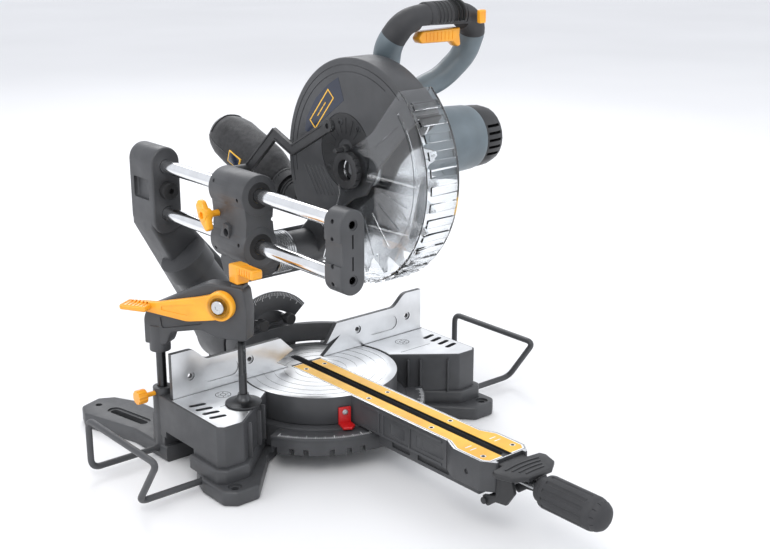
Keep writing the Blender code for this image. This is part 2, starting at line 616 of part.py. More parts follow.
HANDLE = [(54, -66, 344), (50, -70, 384), (38, -92, 424), (48, -108, 450), (74, -112, 455), (140, -112, 453),
          (162, -105, 436), (160, -92, 402), (134, -80, 374), (104, -72, 362), (84, -68, 344)]


def handle():
    path = rounded(HANDLE, 14, 3)
    shell = sweep(path, oval(15, 17, 14), up=(0.05, -0.5, 0.2))
    foot = box(42, 104, -92, -44, 335.5, 352, 4.0)
    saddle = [rod("x", (MOTOR_Y, MOTOR_Z), MOTOR_R + 0.9, 58, 200, 64), rod("x", (MOTOR_Y, MOTOR_Z), MOTOR_R + 3.4,
              40, 58.4, 64)]
    cuts = saddle + [box(62, 136, -124, -96, 429, 446), box(74, 132, -140, -80, 446, 476)]
    piece("handle_frame", "head", "slate", [shell, foot], cuts)
    grip = prism("x", ring(14, 16.5, (-112, 455)), 74.3, 131.7, 1.5)
    piece("handle_grip", "head", "grip", [grip], [box(70, 136, -140, -80, 430, 446.3)])


def dust():
    run = Vector((0, 0.945, 0.327))
    start = Vector((0, 27, 220))
    port = between(start, start + run * 44, 17, 16, 32)
    bore = between(start - run * 3, start + run * 50, 14.5, 13.5, 28)
    piece("dust_port", "head", "plastic", [port], [bore])
    ring_shape = between(start + run * 32, start + run * 46, 21, 22, 32)
    piece("bag_collar", "head", "plastic", [ring_shape], [between(start + run * 20, start + run * 60, 17.6, 17.6, 32)])
    base = start + run * 46.4
    profile = [(0, 0), (21, 0), (29, 12), (36, 40), (37, 90), (36, 126), (30, 146), (18, 156), (0, 158)]
    bag = lathe("z", (0, 0), profile, 32)
    spin = Vector((0, 0, 1)).rotation_difference(run).to_matrix().to_4x4()
    moved(bag, Matrix.Translation(base) @ spin)
    piece("dust_bag", "head", "fabric", [bag], [between(base - run * 5, base + run * 12, 16, 16, 24)])


def trigger_parts():
    outline = [(64, 430), (68, 424), (118, 423), (126, 416), (131, 418), (129, 430), (130, 439), (70, 438)]
    piece("trigger", "trigger", "yellow", [prism("y", outline, -117, -103, 1.0)])
    piece("lock_off_button", "lock_off", "yellow", [box(142, 152, -138, -131.2, 444, 460, 1.5)])


def arbor():
    c = (BLADE_Y, BLADE_Z)
    points = []
    for i in range(TEETH):
        a = 360 / TEETH * i
        points += [around(a, BLADE_R, c), around(a + 2.4, BLADE_R - 3.0, c), around(a + 6.5, BLADE_R - 15, c),
                   around(a + 10.4, BLADE_R - 11, c)]
    disc = prism("x", points, -1.3, 1.3)
    piece("blade", "arbor", "blade", [disc], [rod("x", c, 8.3, -5, 5, 28)])
    for name, low, high in (("outer_flange", -8.5, -1.6), ("inner_flange", 1.6, 9.5)):
        piece(name, "arbor", "steel", [rod("x", c, 24, low, high, 36, 0.8)], [rod("x", c, 8.3, -15, 15, 28)])
    shaft = rod("x", c, 8, -14, 24.9, 28)
    tail = rod("x", c, 6, 20, 43, 24)
    head_bolt = rod("x", c, 10.5, -20, -8.9, 6)
    piece("arbor_shaft", "arbor", "steel", [shaft, tail, head_bolt])
    gear = prism("x", gear_outline(SPINDLE_TEETH, MESH_ANGLE), 27, 35)
    piece("spindle_gear", "arbor", "steel", [gear], [rod("x", c, 6.3, 20, 50, 24)])


def gear_outline(teeth, phase, centre=(BLADE_Y, BLADE_Z)):
    """Trapezium teeth with running clearance on the tips and flanks."""
    pitch = MODULE * teeth / 2
    step = 360 / teeth
    points = []
    for i in range(teeth):
        a = phase + step * i
        for part, radius in ((-0.29, pitch - 1.25 * MODULE), (-0.11, pitch + 0.8 * MODULE),
                             (0.11, pitch + 0.8 * MODULE), (0.29, pitch - 1.25 * MODULE)):
            points.append(around(a + part * step, radius, centre))
    return points


def armature():
    c = (MOTOR_Y, MOTOR_Z)
    core = rod("x", c, 27, 80, 150, 32, 1.0)
    shaft = rod("x", c, 4, 26, 190, 20)
    drum = rod("x", c, 14, 156, 176, 24)
    piece("armature", "armature", "copper", [core, shaft, drum])
    phase = MESH_ANGLE + 180 + 180 / PINION_TEETH
    gear = prism("x", gear_outline(PINION_TEETH, phase, c), 27, 35)
    piece("pinion_gear", "armature", "steel", [gear], [rod("x", c, 4.3, 20, 50, 20)])


def lower_guard():
    c = (BLADE_Y, BLADE_Z)
    low, high = GUARD_FROM, GUARD_TO
    outline = arc(low, high, LOWER_R, 30) + [around(52, 60), around(80, 28), around(150, 27), around(200, 27),
                                              around(235, 40)]
    body = prism("x", outline, -LOWER_HALF, LOWER_HALF)
    inner = prism("x", arc(low - 8, high + 12, LOWER_R - 2.5, 30) + [around(100, 60), around(170, 60),
                                                                     around(225, 60)], -22.0, 22.0)
    right = prism("x", arc(0, 360, 46, 24)[:-1], 10, 40)
    side = prism("x", [around(64, 20), around(64, 150), around(120, 150), around(190, 150), around(236, 150),
                       around(236, 20)], 10, 40)
    solids = [body]
    for i in range(18):
        a = low + 6 + i * 9.2
        rib = prism("x", arc(a, a + 4.4, LOWER_R - 1.2, 2) + arc(a, a + 4.4, LOWER_R + 2.6, 2)[::-1], -18, 18)
        solids.append(rib)
    cuts = [inner, right, side, rod("x", c, 12.5, -40, -10, 28)]
    piece("lower_guard", "lower_guard", "clear", solids, cuts)
    disc = rod("x", c, 22, -33, -24.8, 36, 1.0)
    crank = rod("x", around(100, 24), 6, -33, -24.8, 20)
    pin = rod("x", around(100, 24), 3, -44, -26, 16)
    piece("guard_hub", "lower_guard", "plastic", [disc, crank, pin], [rod("x", c, 13, -50, -10, 28)])


def guard_link():
    path = [(78, 258), (16, 313), (-20, 299), (-92, 338)]
    side = 6.5
    top, bottom = [], []
    points = [Vector(p) for p in path]
    for i, here in enumerate(points):
        ahead = points[min(i + 1, 3)]
        behind = points[max(i - 1, 0)]
        a = (here - behind).normalized() if i else (ahead - here).normalized()
        b = (ahead - here).normalized() if i < 3 else a
        normal = Vector((-(a + b).y, (a + b).x)).normalized()
        reach = side / max(0.5, normal.dot(Vector((-a.y, a.x))))
        top.append(here + normal * reach)
        bottom.append(here - normal * reach)
    bar = prism("x", [tuple(p) for p in top + bottom[::-1]], -54, -48)
    end = rod("x", (78, 258), 8, -76.8, -47.7, 24)
    tip = rod("x", (-92, 338), 7.5, -54.3, -47.7, 24)
    cuts = [rod("x", (78, 258), 3.3, -90, -40, 16)]
    piece("guard_link", "guard_link", "plastic", [bar, end, tip], cuts)
    screw = rod("x", (78, 258), 3, -88, -46, 16)
    piece("link_pivot_screw", "carriage", "steel", [screw, rod("x", (78, 258), 5.5, -47.6, -44.4, 16)])


# --------------------------------------------------------------------------- clamp and extensions

def in_clamp(obj):
    """Places a piece modelled along the clamp's own arm: x runs from the post to the spindle."""
    heading = atan2(SPINDLE_Y - POST_Y, SPINDLE_X - POST_X)
    return moved(obj, Matrix.Translation((POST_X, POST_Y, 0)) @ Matrix.Rotation(heading, 4, "Z"))


REACH = hypot(SPINDLE_X - POST_X, SPINDLE_Y - POST_Y)
CAM_AT = (94.0, 128.0)


def clamp():
    piece("clamp_post", "clamp", "steel", [rod("z", (POST_X, POST_Y), 6, -60, 92, 24)])
    outline = [(-15, 66), (15, 66), (22, 84), (62, 92), (84, 84), (REACH + 12, 84), (REACH + 14, 120),
               (REACH + 10, 150), (72, 152), (34, 134), (-8, 114), (-15, 100)]
    block = prism("y", outline, -11, 11, 3.0)
    sleeve = rod("z", (0, 0), 13, 56, 90, 28)
    guide = box(REACH - 8, REACH + 8, -8, 8, 140, 153.5, 1.0)
    cuts = [rod("z", (0, 0), 6.4, 40, 94, 24), rod("z", (REACH, 0), 5.5, 60, 170, 24)]
    cuts.append(rod("y", CAM_AT, 5.4, -30, 30, 24))
    for part in [block, sleeve, guide, *cuts]:
        in_clamp(part)
    piece("clamp_body", "clamp", "casting", [block, sleeve, guide], cuts)
    spindle = rod("z", (SPINDLE_X, SPINDLE_Y), 5, 4, 168, 24)
    profile = [(0, 0.5), (14, 0.5), (14.5, 3), (9, 5), (6.5, 9), (6, 14), (0, 14)]
    foot = lathe("z", (SPINDLE_X, SPINDLE_Y), profile, 32)
    piece("clamp_spindle", "clamp_screw", "steel", [spindle, foot])
    hub = box(SPINDLE_X - 9, SPINDLE_X + 9, SPINDLE_Y - 9, SPINDLE_Y + 9, 154.5, 177.5, 2.0)
    bar = box(SPINDLE_X - 8, SPINDLE_X + 8, SPINDLE_Y - 38, SPINDLE_Y - 4, 166, 177.5, 2.5)
    socket = rod("z", (SPINDLE_X, SPINDLE_Y), 5.4, 150, 168.4, 24)
    piece("clamp_tee_handle", "clamp_screw", "yellow", [hub, bar], [socket])


def clamp_lever():
    s, z = CAM_AT
    ring_out = rod("y", CAM_AT, 18, -21, -12, 40, 1.0)
    profile = [(s + 4, z + 17.6), (s - 30, z + 8), (s - 84, z - 4), (s - 122, z - 6), (s - 124, z - 15),
               (s - 86, z - 19), (s - 44, z - 24), (s - 4, z - 17.6)]
    lever = prism("y", profile, -20, -13, 1.2)
    pad = box(s - 128, s - 92, -34, -10, z - 14, z - 7, 2.5)
    parts = [ring_out, lever, pad, rod("y", CAM_AT, 6.2, -30, 30, 24)]
    for part in parts:
        in_clamp(part)
    piece("clamp_cam_lever", "clamp_cam", "yellow", parts[:3], parts[3:])
    pin = [rod("y", CAM_AT, 5, -23, 15, 24), rod("y", CAM_AT, 8, -25, -21.5, 24)]
    for part in pin:
        in_clamp(part)
    piece("clamp_cam_pin", "clamp", "steel", pin)
    stem = rod("x", (POST_Y, 1), 3, -226, -203.6, 16)
    knob = rod("x", (POST_Y, 1), 9, -234, -222, 16, 1.0)
    piece("post_knob", "post_knob", "yellow", [stem, knob])


def extension(side):
    rear, front, out = POST_Y, -50.0, WIRE_X
    path = [(150, rear, WIRE_Z), (out, rear, WIRE_Z), (out, rear, -9), (out, -96, -9), (out, -50, WIRE_Z),
            (150, front, WIRE_Z)]
    path = [(x * side, y, z) for x, y, z in path]
    path = rounded(path, 13, 3)
    wire = sweep(path, oval(WIRE_R, WIRE_R, 8), up=(0.2 * side, 1.0, 0.3))
    name, body = (("extension_wire_right", "right_extension"), ("extension_wire_left", "left_extension"))[side < 0]
    piece(name, body, "casting", [wire])


def build():
    clear_scene()
    base_casting()
    fence_and_scale()
    turntable()
    table_parts()
    miter_handle()
    bevel_arm()
    carriage()
    head()
    trigger_parts()
    arbor()
    armature()
    lower_guard()
    guard_link()
    clamp()
    clamp_lever()
    extension(1)
    extension(-1)


build()
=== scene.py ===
"""Finished look of a sliding compound miter saw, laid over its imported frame.

The saw's own working frame, in millimetres, has its origin at the turntable's axis on the table top, with
+X to the operator's right, +Y away from the operator and +Z up. Every piece is modelled there and then
carried to the frame's metres.
"""

import json
from math import atan2, cos, degrees, hypot, pi, radians, sin

import bmesh
import bpy
from mathutils import Matrix, Vector
from mathutils.bvhtree import BVHTree


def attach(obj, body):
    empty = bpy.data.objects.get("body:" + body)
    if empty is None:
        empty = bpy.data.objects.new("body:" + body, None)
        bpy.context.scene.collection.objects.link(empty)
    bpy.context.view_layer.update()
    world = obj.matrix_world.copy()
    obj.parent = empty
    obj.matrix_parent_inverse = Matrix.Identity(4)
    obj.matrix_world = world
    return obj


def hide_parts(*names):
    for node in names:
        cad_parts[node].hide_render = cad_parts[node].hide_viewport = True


bl_info = {
    "name": "Miter Saw Look",
    "version": (1, 0, 0),
    "blender": (4, 5, 0),
    "location": "3D View > Sidebar > Miter Saw",
    "description": "Builds the finished pieces of a sliding compound miter saw over its frame",
    "category": "Object",
}

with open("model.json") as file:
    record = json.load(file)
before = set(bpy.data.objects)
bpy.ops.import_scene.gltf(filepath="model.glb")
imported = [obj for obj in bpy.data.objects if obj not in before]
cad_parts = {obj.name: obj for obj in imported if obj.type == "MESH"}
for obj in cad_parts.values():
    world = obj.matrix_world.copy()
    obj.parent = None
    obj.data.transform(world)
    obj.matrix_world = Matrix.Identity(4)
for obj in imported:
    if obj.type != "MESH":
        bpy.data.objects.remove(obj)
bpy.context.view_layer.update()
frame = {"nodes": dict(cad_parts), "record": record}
JOINTS = {joint["name"]: joint for joint in frame["record"]["behaviour"]["joints"]}
ORIGIN = Vector(JOINTS["miter_swing"]["pos_m"])
MM = 0.001

# Sizes shared by several pieces, in millimetres
TABLE_R = 100.0
FENCE_Y = 31.0
RAIL_X, RAIL_HIGH, RAIL_LOW, RAIL_R = -103.0, 251.0, 188.0, 9.0
CHOP = (50.0, 152.0)
BLADE = (-97.0, 284.0)
BLADE_R = 125.0
MOTOR = (-61.5, 290.0)
MOTOR_R = 44.0
LOWER_R = 134.0
POST = (-197.0, 64.0)
SPINDLE = (-142.0, -33.0)
REACH = hypot(SPINDLE[0] - POST[0], SPINDLE[1] - POST[1])
WIRE_Z = -73.0
SHAFT_BORE = 8.3
OUTLET = Vector((0, 27, 220))
OUTLET_WAY = Vector((0, 0.945, 0.327))
BAG_FROM = 46.6


# --------------------------------------------------------------------------- settings a user would change

class MiterSawPaint(bpy.types.PropertyGroup):
    """Colours of the saw's finishes."""
    casting: bpy.props.FloatVectorProperty(name="Castings", description="Powder coat on the castings",
                                           subtype="COLOR", default=(0.054, 0.0555, 0.059), min=0, max=1)
    shell: bpy.props.FloatVectorProperty(name="Shell", description="Motor and handle mouldings",
                                         subtype="COLOR",
                                         default=(0.125, 0.158, 0.178), min=0, max=1)
    accent: bpy.props.FloatVectorProperty(name="Accent", description="Levers, knobs and trigger",
                                          subtype="COLOR",
                                          default=(0.98, 0.39, 0.02), min=0, max=1)
    inlay: bpy.props.FloatVectorProperty(name="Inserts", description="Kerf inserts in the table",
                                         subtype="COLOR",
                                         default=(0.94, 0.5, 0.055), min=0, max=1)


class MiterSawShape(bpy.types.PropertyGroup):
    """Sizes of the saw's finished pieces."""
    edge: bpy.props.FloatProperty(name="Edge break", description="Rounding on the castings' outer edges",
                                  subtype="DISTANCE", unit="LENGTH", default=0.0008, min=0.0, max=0.002)
    teeth: bpy.props.IntProperty(name="Blade teeth", description="Teeth on the saw blade", default=24, min=12,
                                 max=80)
    grooves: bpy.props.IntProperty(name="Table grooves", description="Turned rings on the table top",
                                   default=5,
                                   min=0, max=12)
    guard_ribs: bpy.props.IntProperty(name="Guard ribs",
                                      description="Raised blocks round the clear guard's rim",
                                      default=19, min=4, max=40)
    bag_pressure: bpy.props.FloatProperty(name="Bag fullness",
                                          description="Air pressure that swells the dust bag",
                                          default=3.0, min=0.0, max=8.0)


def paint():
    """Colours set in the sidebar."""
    return bpy.context.scene.miter_saw_paint


def shape():
    """Sizes set in the sidebar."""
    return bpy.context.scene.miter_saw_shape


# --------------------------------------------------------------------------- modelling helpers

def temp(bm):
    """Loose object from a bmesh, with its faces turned outwards."""
    bmesh.ops.recalc_face_normals(bm, faces=bm.faces)
    mesh = bpy.data.meshes.new("tmp")
    bm.to_mesh(mesh)
    bm.free()
    obj = bpy.data.objects.new("tmp", mesh)
    bpy.context.scene.collection.objects.link(obj)
    return obj


def soften(bm, width, segments=2, angle=35):
    """Bevels every edge sharper than the angle."""
    edges = [e for e in bm.edges if len(e.link_faces) == 2 and degrees(e.calc_face_angle()) > angle]
    bmesh.ops.bevel(bm, geom=edges, offset=width, offset_type="OFFSET", segments=segments, profile=0.5,
                    affect="EDGES", clamp_overlap=True, material=-1)


def turned(axis):
    """Matrix that takes local +Z to the named axis and keeps an outline's own x and y readable."""
    if axis == "z":
        return Matrix.Identity(4)
    if axis == "y":
        return Matrix(((1, 0, 0, 0), (0, 0, 1, 0), (0, 1, 0, 0), (0, 0, 0, 1)))
    return Matrix(((0, 0, 1, 0), (1, 0, 0, 0), (0, 1, 0, 0), (0, 0, 0, 1)))


def prism(axis, points, low, high, r=0.0, segments=2):
    """Outline extruded along an axis: (x, y) for z, (x, z) for y, (y, z) for x."""
    bm = bmesh.new()
    face = bm.faces.new([bm.verts.new((a, b, low)) for a, b in points])
    top = bmesh.ops.extrude_face_region(bm, geom=[face])["geom"]
    bmesh.ops.translate(bm, vec=(0, 0, high - low),
                        verts=[v for v in top if isinstance(v, bmesh.types.BMVert)])
    bm.transform(turned(axis))
    bmesh.ops.recalc_face_normals(bm, faces=bm.faces)
    if r:
        soften(bm, r, segments)
    return temp(bm)


def box(x0, x1, y0, y1, z0, z1, r=0.0, segments=2):
    """Box between two corners, with its edges eased."""
    x0, x1 = sorted((x0, x1))
    return prism("z", [(x0, y0), (x1, y0), (x1, y1), (x0, y1)], z0, z1, r, segments)


def ring(count, radius, centre=(0, 0), start=0.0):
    """Points of a regular polygon."""
    return [(centre[0] + radius * cos(start + 2 * pi * i / count),
             centre[1] + radius * sin(start + 2 * pi * i / count))
            for i in range(count)]


def rod(axis, centre, radius, low, high, count=48, r=0.0):
    """Round bar along an axis."""
    return prism(axis, ring(count, radius, centre, pi / count), low, high, r)


def lathe(axis, centre, profile, count=64, close=False):
    """Profile of (radius, height) pairs spun about an axis through the centre."""
    bm = bmesh.new()
    verts = [bm.verts.new((max(a, 0.0), 0, h)) for a, h in profile]
    pairs = list(zip(verts, verts[1:])) + ([(verts[-1], verts[0])] if close else [])
    edges = [bm.edges.new(pair) for pair in pairs]
    bmesh.ops.spin(bm, geom=verts + edges, cent=(0, 0, 0), axis=(0, 0, 1), angle=2 * pi, steps=count,
                   use_merge=True)
    bmesh.ops.remove_doubles(bm, verts=bm.verts, dist=0.002)
    move = {"z": (centre[0], centre[1], 0), "y": (centre[0], 0, centre[1]),
            "x": (0, centre[0], centre[1])}[axis]
    bm.transform(Matrix.Translation(move) @ turned(axis))
    return temp(bm)


def between(a, b, radius, radius_b=None, count=40):
    """Rod or cone from point a to point b."""
    a, b = Vector(a), Vector(b)
    bm = bmesh.new()
    span = b - a
    spin = Vector((0, 0, 1)).rotation_difference(span.normalized()).to_matrix().to_4x4()
    bmesh.ops.create_cone(bm, cap_ends=True, segments=count, radius1=radius,
                          radius2=radius if radius_b is None else radius_b, depth=span.length,
                          matrix=Matrix.Translation((a + b) / 2) @ spin)
    return temp(bm)


def rounded(points, radius, steps=8):
    """Path with its inner corners rounded."""
    points = [Vector(p) for p in points]
    path = [points[0]]
    for before, here, after in zip(points, points[1:], points[2:]):
        a = (before - here).normalized()
        b = (after - here).normalized()
        reach = min(radius, (before - here).length * 0.45, (after - here).length * 0.45)
        for i in range(steps + 1):
            t = i / steps
            path.append((here + a * reach) * (1 - t) ** 2 + here * 2 * t * (1 - t)
                        + (here + b * reach) * t ** 2)
    path.append(points[-1])
    return path


def flowing(points, steps=8):
    """Smooth path through the points."""
    points = [Vector(p) for p in points]
    ends = [points[0] * 2 - points[1], *points, points[-1] * 2 - points[-2]]
    path = []
    for a, b, c, d in zip(ends, ends[1:], ends[2:], ends[3:]):
        for i in range(steps):
            t = i / steps
            path.append(0.5 * (2 * b + (c - a) * t + (2 * a - 5 * b + 4 * c - d) * t ** 2
                               + (3 * b - a - 3 * c + d) * t ** 3))
    path.append(points[-1])
    return path


def sweep(path, section, up=(0, 0, 1)):
    """Closed section of (side, up) offsets carried along a path, capped at both ends."""
    bm = bmesh.new()
    rows = []
    side_before = None
    for i, point in enumerate(path):
        run = (path[min(i + 1, len(path) - 1)] - path[max(i - 1, 0)]).normalized()
        side = run.cross(Vector(up))
        if side.length < 0.05 and side_before:
            side = side_before
        side = (side - run * side.dot(run)).normalized()
        if side_before and side.dot(side_before) < 0:
            side = -side
        side_before = side
        top = side.cross(run).normalized()
        outline = section(i / (len(path) - 1)) if callable(section) else section
        verts = [bm.verts.new(point + side * s + top * t) for s, t in outline]
        rows.append([bm.edges.new((verts[j - 1], verts[j])) for j in range(len(verts))])
        if i in (0, len(path) - 1):
            bm.faces.new(verts)
    for low, high in zip(rows, rows[1:]):
        bmesh.ops.bridge_loops(bm, edges=low + high)
    return temp(bm)


def combine(base, others, operation):
    """Boolean of the base with each of the others, which are used up."""
    for other in others:
        modifier = base.modifiers.new(operation, "BOOLEAN")
        modifier.operation = operation
        modifier.solver = "EXACT"
        modifier.object = other
        graph = bpy.context.evaluated_depsgraph_get()
        mesh = bpy.data.meshes.new_from_object(base.evaluated_get(graph))
        base.modifiers.clear()
        base.data = mesh
        bpy.data.objects.remove(other, do_unlink=True)
    return base


def moved(obj, matrix):
    """Transforms an object's mesh and hands the object back."""
    obj.data.transform(matrix)
    return obj


def turn(axis, angle, about=(0, 0, 0)):
    """Rotation in degrees about an axis through a point."""
    return (Matrix.Translation(about) @ Matrix.Rotation(radians(angle), 4, axis.upper())
            @ Matrix.Translation([-c for c in about]))


def around(angle, radius, centre=BLADE):
    """Point (y, z) round the arbor: 0 degrees faces the operator and 90 is straight up."""
    return (centre[0] - radius * cos(radians(angle)), centre[1] + radius * sin(radians(angle)))


def arc(low, high, radius, count=48, centre=BLADE):
    """Points (y, z) along an arc round the arbor."""
    return [around(low + (high - low) * i / count, radius, centre) for i in range(count + 1)]


def flat_arc(low, high, radius, count):
    """Points (x, y) round the table's axis: angles run from straight ahead, positive to the right."""
    steps = [radians(low + (high - low) * i / count) for i in range(count + 1)]
    return [(radius * sin(a), -radius * cos(a)) for a in steps]


def slot(x, y, half_long, half_wide, angle, steps=8):
    """Round-ended slot outline centred on (x, y)."""
    reach = half_long - half_wide
    points = []
    for start, offset in ((-90, reach), (90, -reach)):
        for i in range(steps + 1):
            a = radians(start + 180 * i / steps)
            points.append((offset + half_wide * cos(a), half_wide * sin(a)))
    c, s = cos(radians(angle)), sin(radians(angle))
    return [(x + a * c - b * s, y + a * s + b * c) for a, b in points]


def stadium(x, low, high, radius, count=20):
    """Upright round-ended outline (x, z)."""
    top = [(x + radius * cos(pi * i / count), high + radius * sin(pi * i / count)) for i in range(count + 1)]
    return top + [(x - radius * cos(pi * i / count), low - radius * sin(pi * i / count))
                  for i in range(count + 1)]


def oval(wide, tall, count=32, power=2.0):
    """Oval outline; a power over 2 squares it off."""
    points = []
    for i in range(count):
        c, s = cos(2 * pi * i / count), sin(2 * pi * i / count)
        points.append((wide * abs(c) ** (2 / power) * (1 if c > 0 else -1),
                       tall * abs(s) ** (2 / power) * (1 if s > 0 else -1)))
    return points


# --------------------------------------------------------------------------- finishes

FINISHES = {}


class Wiring:
    """Small helper that lays out a material's nodes."""

    def __init__(self, name):
        self.material = bpy.data.materials.new(name)
        self.material.use_nodes = True
        self.tree = self.material.node_tree
        self.shader = self.tree.nodes["Principled BSDF"]
        self.place = self.node("ShaderNodeTexCoord").outputs["Object"]
        self.bumps = None
        FINISHES[name] = self.material

    def node(self, kind, **values):
        made = self.tree.nodes.new(kind)
        for key, value in values.items():
            setattr(made, key, value)
        return made

    def link(self, a, b):
        self.tree.links.new(a, b)

    def stretched(self, scale):
        mapping = self.node("ShaderNodeMapping")
        mapping.inputs["Scale"].default_value = scale
        self.link(self.place, mapping.inputs["Vector"])
        return mapping.outputs["Vector"]

    def noise(self, size_mm, detail=3.0, rough=0.5, stretch=None):
        made = self.node("ShaderNodeTexNoise")
        made.inputs["Scale"].default_value = 1000.0 / size_mm
        made.inputs["Detail"].default_value = detail
        made.inputs["Roughness"].default_value = rough
        self.link(self.stretched(stretch) if stretch else self.place, made.inputs["Vector"])
        return made.outputs["Fac"]

    def ramp(self, factor, *stops):
        made = self.node("ShaderNodeValToRGB")
        while len(made.color_ramp.elements) < len(stops):
            made.color_ramp.elements.new(0.5)
        for element, (position, colour) in zip(made.color_ramp.elements, stops):
            element.position = position
            element.color = (*colour, 1)
        self.link(factor, made.inputs["Fac"])
        return made.outputs["Color"]

    def spread(self, factor, low, high, start=0.3, end=0.7):
        made = self.node("ShaderNodeMapRange")
        for key, value in (("From Min", start), ("From Max", end), ("To Min", low), ("To Max", high)):
            made.inputs[key].default_value = value
        self.link(factor, made.inputs["Value"])
        return made.outputs["Result"]

    def bump(self, height, strength, distance_mm):
        made = self.node("ShaderNodeBump")
        made.inputs["Strength"].default_value = strength
        made.inputs["Distance"].default_value = distance_mm * MM
        self.link(height, made.inputs["Height"])
        if self.bumps:
            self.link(self.bumps, made.inputs["Normal"])
        self.bumps = made.outputs["Normal"]
        self.link(self.bumps, self.shader.inputs["Normal"])

    def set(self, **values):
        for key, value in values.items():
            self.shader.inputs[key.replace("_", " ")].default_value = value


def tones(colour, low, high):
    """Darker and lighter shade of a colour."""
    return tuple(c * low for c in colour), tuple(min(1.0, c * high) for c in colour)


def coated(name, colour, rough, grain, strength, spread=0.06, coat=0.0):
    """Powder coat or moulded plastic: soft mottling, a fine grain and uneven gloss."""
    w = Wiring(name)
    dark, light = tones(colour, 0.86, 1.16)
    w.link(w.ramp(w.noise(38, 4), (0.32, dark), (0.68, light)), w.shader.inputs["Base Color"])
    w.link(w.spread(w.noise(16, 5, 0.6), rough - spread, rough + spread), w.shader.inputs["Roughness"])
    w.bump(w.noise(grain, 2, 0.6), strength, grain * 0.16)
    w.bump(w.noise(60, 1), 0.12, 0.6)
    if coat:
        w.set(Coat_Weight=coat, Coat_Roughness=0.12)
    return w


def metal(name, colour, rough, stretch, grain=1.2, strength=0.12, spread=0.08):
    """Bare metal with the direction of its machining."""
    w = Wiring(name)
    dark, light = tones(colour, 0.9, 1.06)
    w.set(Metallic=1.0)
    w.link(w.ramp(w.noise(30, 4), (0.3, dark), (0.7, light)), w.shader.inputs["Base Color"])
    lines = w.noise(grain, 3, 0.7, stretch)
    w.link(w.spread(lines, rough - spread, rough + spread, 0.25, 0.75), w.shader.inputs["Roughness"])
    w.bump(lines, strength, 0.05)
    return w


def make_finishes():
    """Builds every material of the saw."""
    p = paint()
    coated("casting", tuple(p.casting), 0.43, 0.9, 0.3, 0.07)
    coated("plastic", (0.022, 0.0225, 0.024), 0.45, 0.6, 0.22)
    coated("slate", tuple(p.shell), 0.4, 0.5, 0.16)
    coated("grip", (0.03, 0.0305, 0.033), 0.62, 0.45, 0.4)
    coated("yellow", tuple(p.accent), 0.34, 0.7, 0.1, 0.05, 0.25)
    coated("plate", tuple(p.inlay), 0.42, 0.6, 0.12)
    coated("red", (0.55, 0.008, 0.01), 0.33, 0.7, 0.1, 0.05, 0.2)
    coated("rubber", (0.012, 0.012, 0.013), 0.75, 0.5, 0.35)
    coated("label", (0.006, 0.013, 0.035), 0.3, 0.5, 0.05, 0.04, 0.4)
    coated("mark", (0.85, 0.86, 0.87), 0.5, 0.4, 0.05)
    metal("aluminium", (0.75, 0.76, 0.77), 0.36, (0.12, 1.0, 1.0))
    metal("chrome", (0.86, 0.87, 0.88), 0.13, (1.0, 0.05, 1.0), 1.5, 0.04, 0.04)
    metal("steel", (0.56, 0.57, 0.58), 0.3, (1.0, 1.0, 1.0), 0.6)
    metal("blade", (0.72, 0.73, 0.74), 0.17, (1.0, 0.3, 1.6), 0.9, 0.03, 0.04)
    metal("dark_steel", (0.075, 0.077, 0.08), 0.36, (1.0, 1.0, 1.0), 0.7, 0.1)
    metal("copper", (0.6, 0.27, 0.14), 0.38, (0.3, 1.0, 1.0), 0.8, 0.5)
    metal("bronze", (0.42, 0.3, 0.14), 0.42, (1.0, 1.0, 1.0), 0.5)
    w = Wiring("clear")
    w.set(Transmission_Weight=1.0, IOR=1.49)
    w.link(w.ramp(w.noise(45, 2), (0.3, (0.93, 0.95, 0.96)), (0.7, (0.98, 0.99, 1.0))),
           w.shader.inputs["Base Color"])
    w.link(w.spread(w.noise(12, 4), 0.0, 0.03), w.shader.inputs["Roughness"])
    w.bump(w.noise(16, 2), 0.03, 0.3)
    w = Wiring("fabric")
    w.set(Sheen_Weight=0.35, Sheen_Roughness=0.45)
    w.link(w.ramp(w.noise(26, 5), (0.3, (0.008, 0.008, 0.009)), (0.7, (0.02, 0.02, 0.022))),
           w.shader.inputs["Base Color"])
    w.link(w.spread(w.noise(5, 3), 0.62, 0.85), w.shader.inputs["Roughness"])
    for direction in ("X", "Z"):
        wave = w.node("ShaderNodeTexWave", bands_direction=direction)
        wave.inputs["Scale"].default_value = 330.0
        wave.inputs["Distortion"].default_value = 0.6
        w.link(w.place, wave.inputs["Vector"])
        w.bump(wave.outputs["Fac"], 0.35, 0.2)
    w.bump(w.noise(22, 3), 0.4, 1.2)
    w = Wiring("floor")
    w.link(w.ramp(w.noise(900, 2), (0.3, (0.86, 0.86, 0.865)), (0.7, (0.9, 0.9, 0.905))),
           w.shader.inputs["Base Color"])
    w.link(w.spread(w.noise(300, 2), 0.55, 0.65), w.shader.inputs["Roughness"])


WORLD = Matrix.Translation(ORIGIN) @ Matrix.Scale(MM, 4)


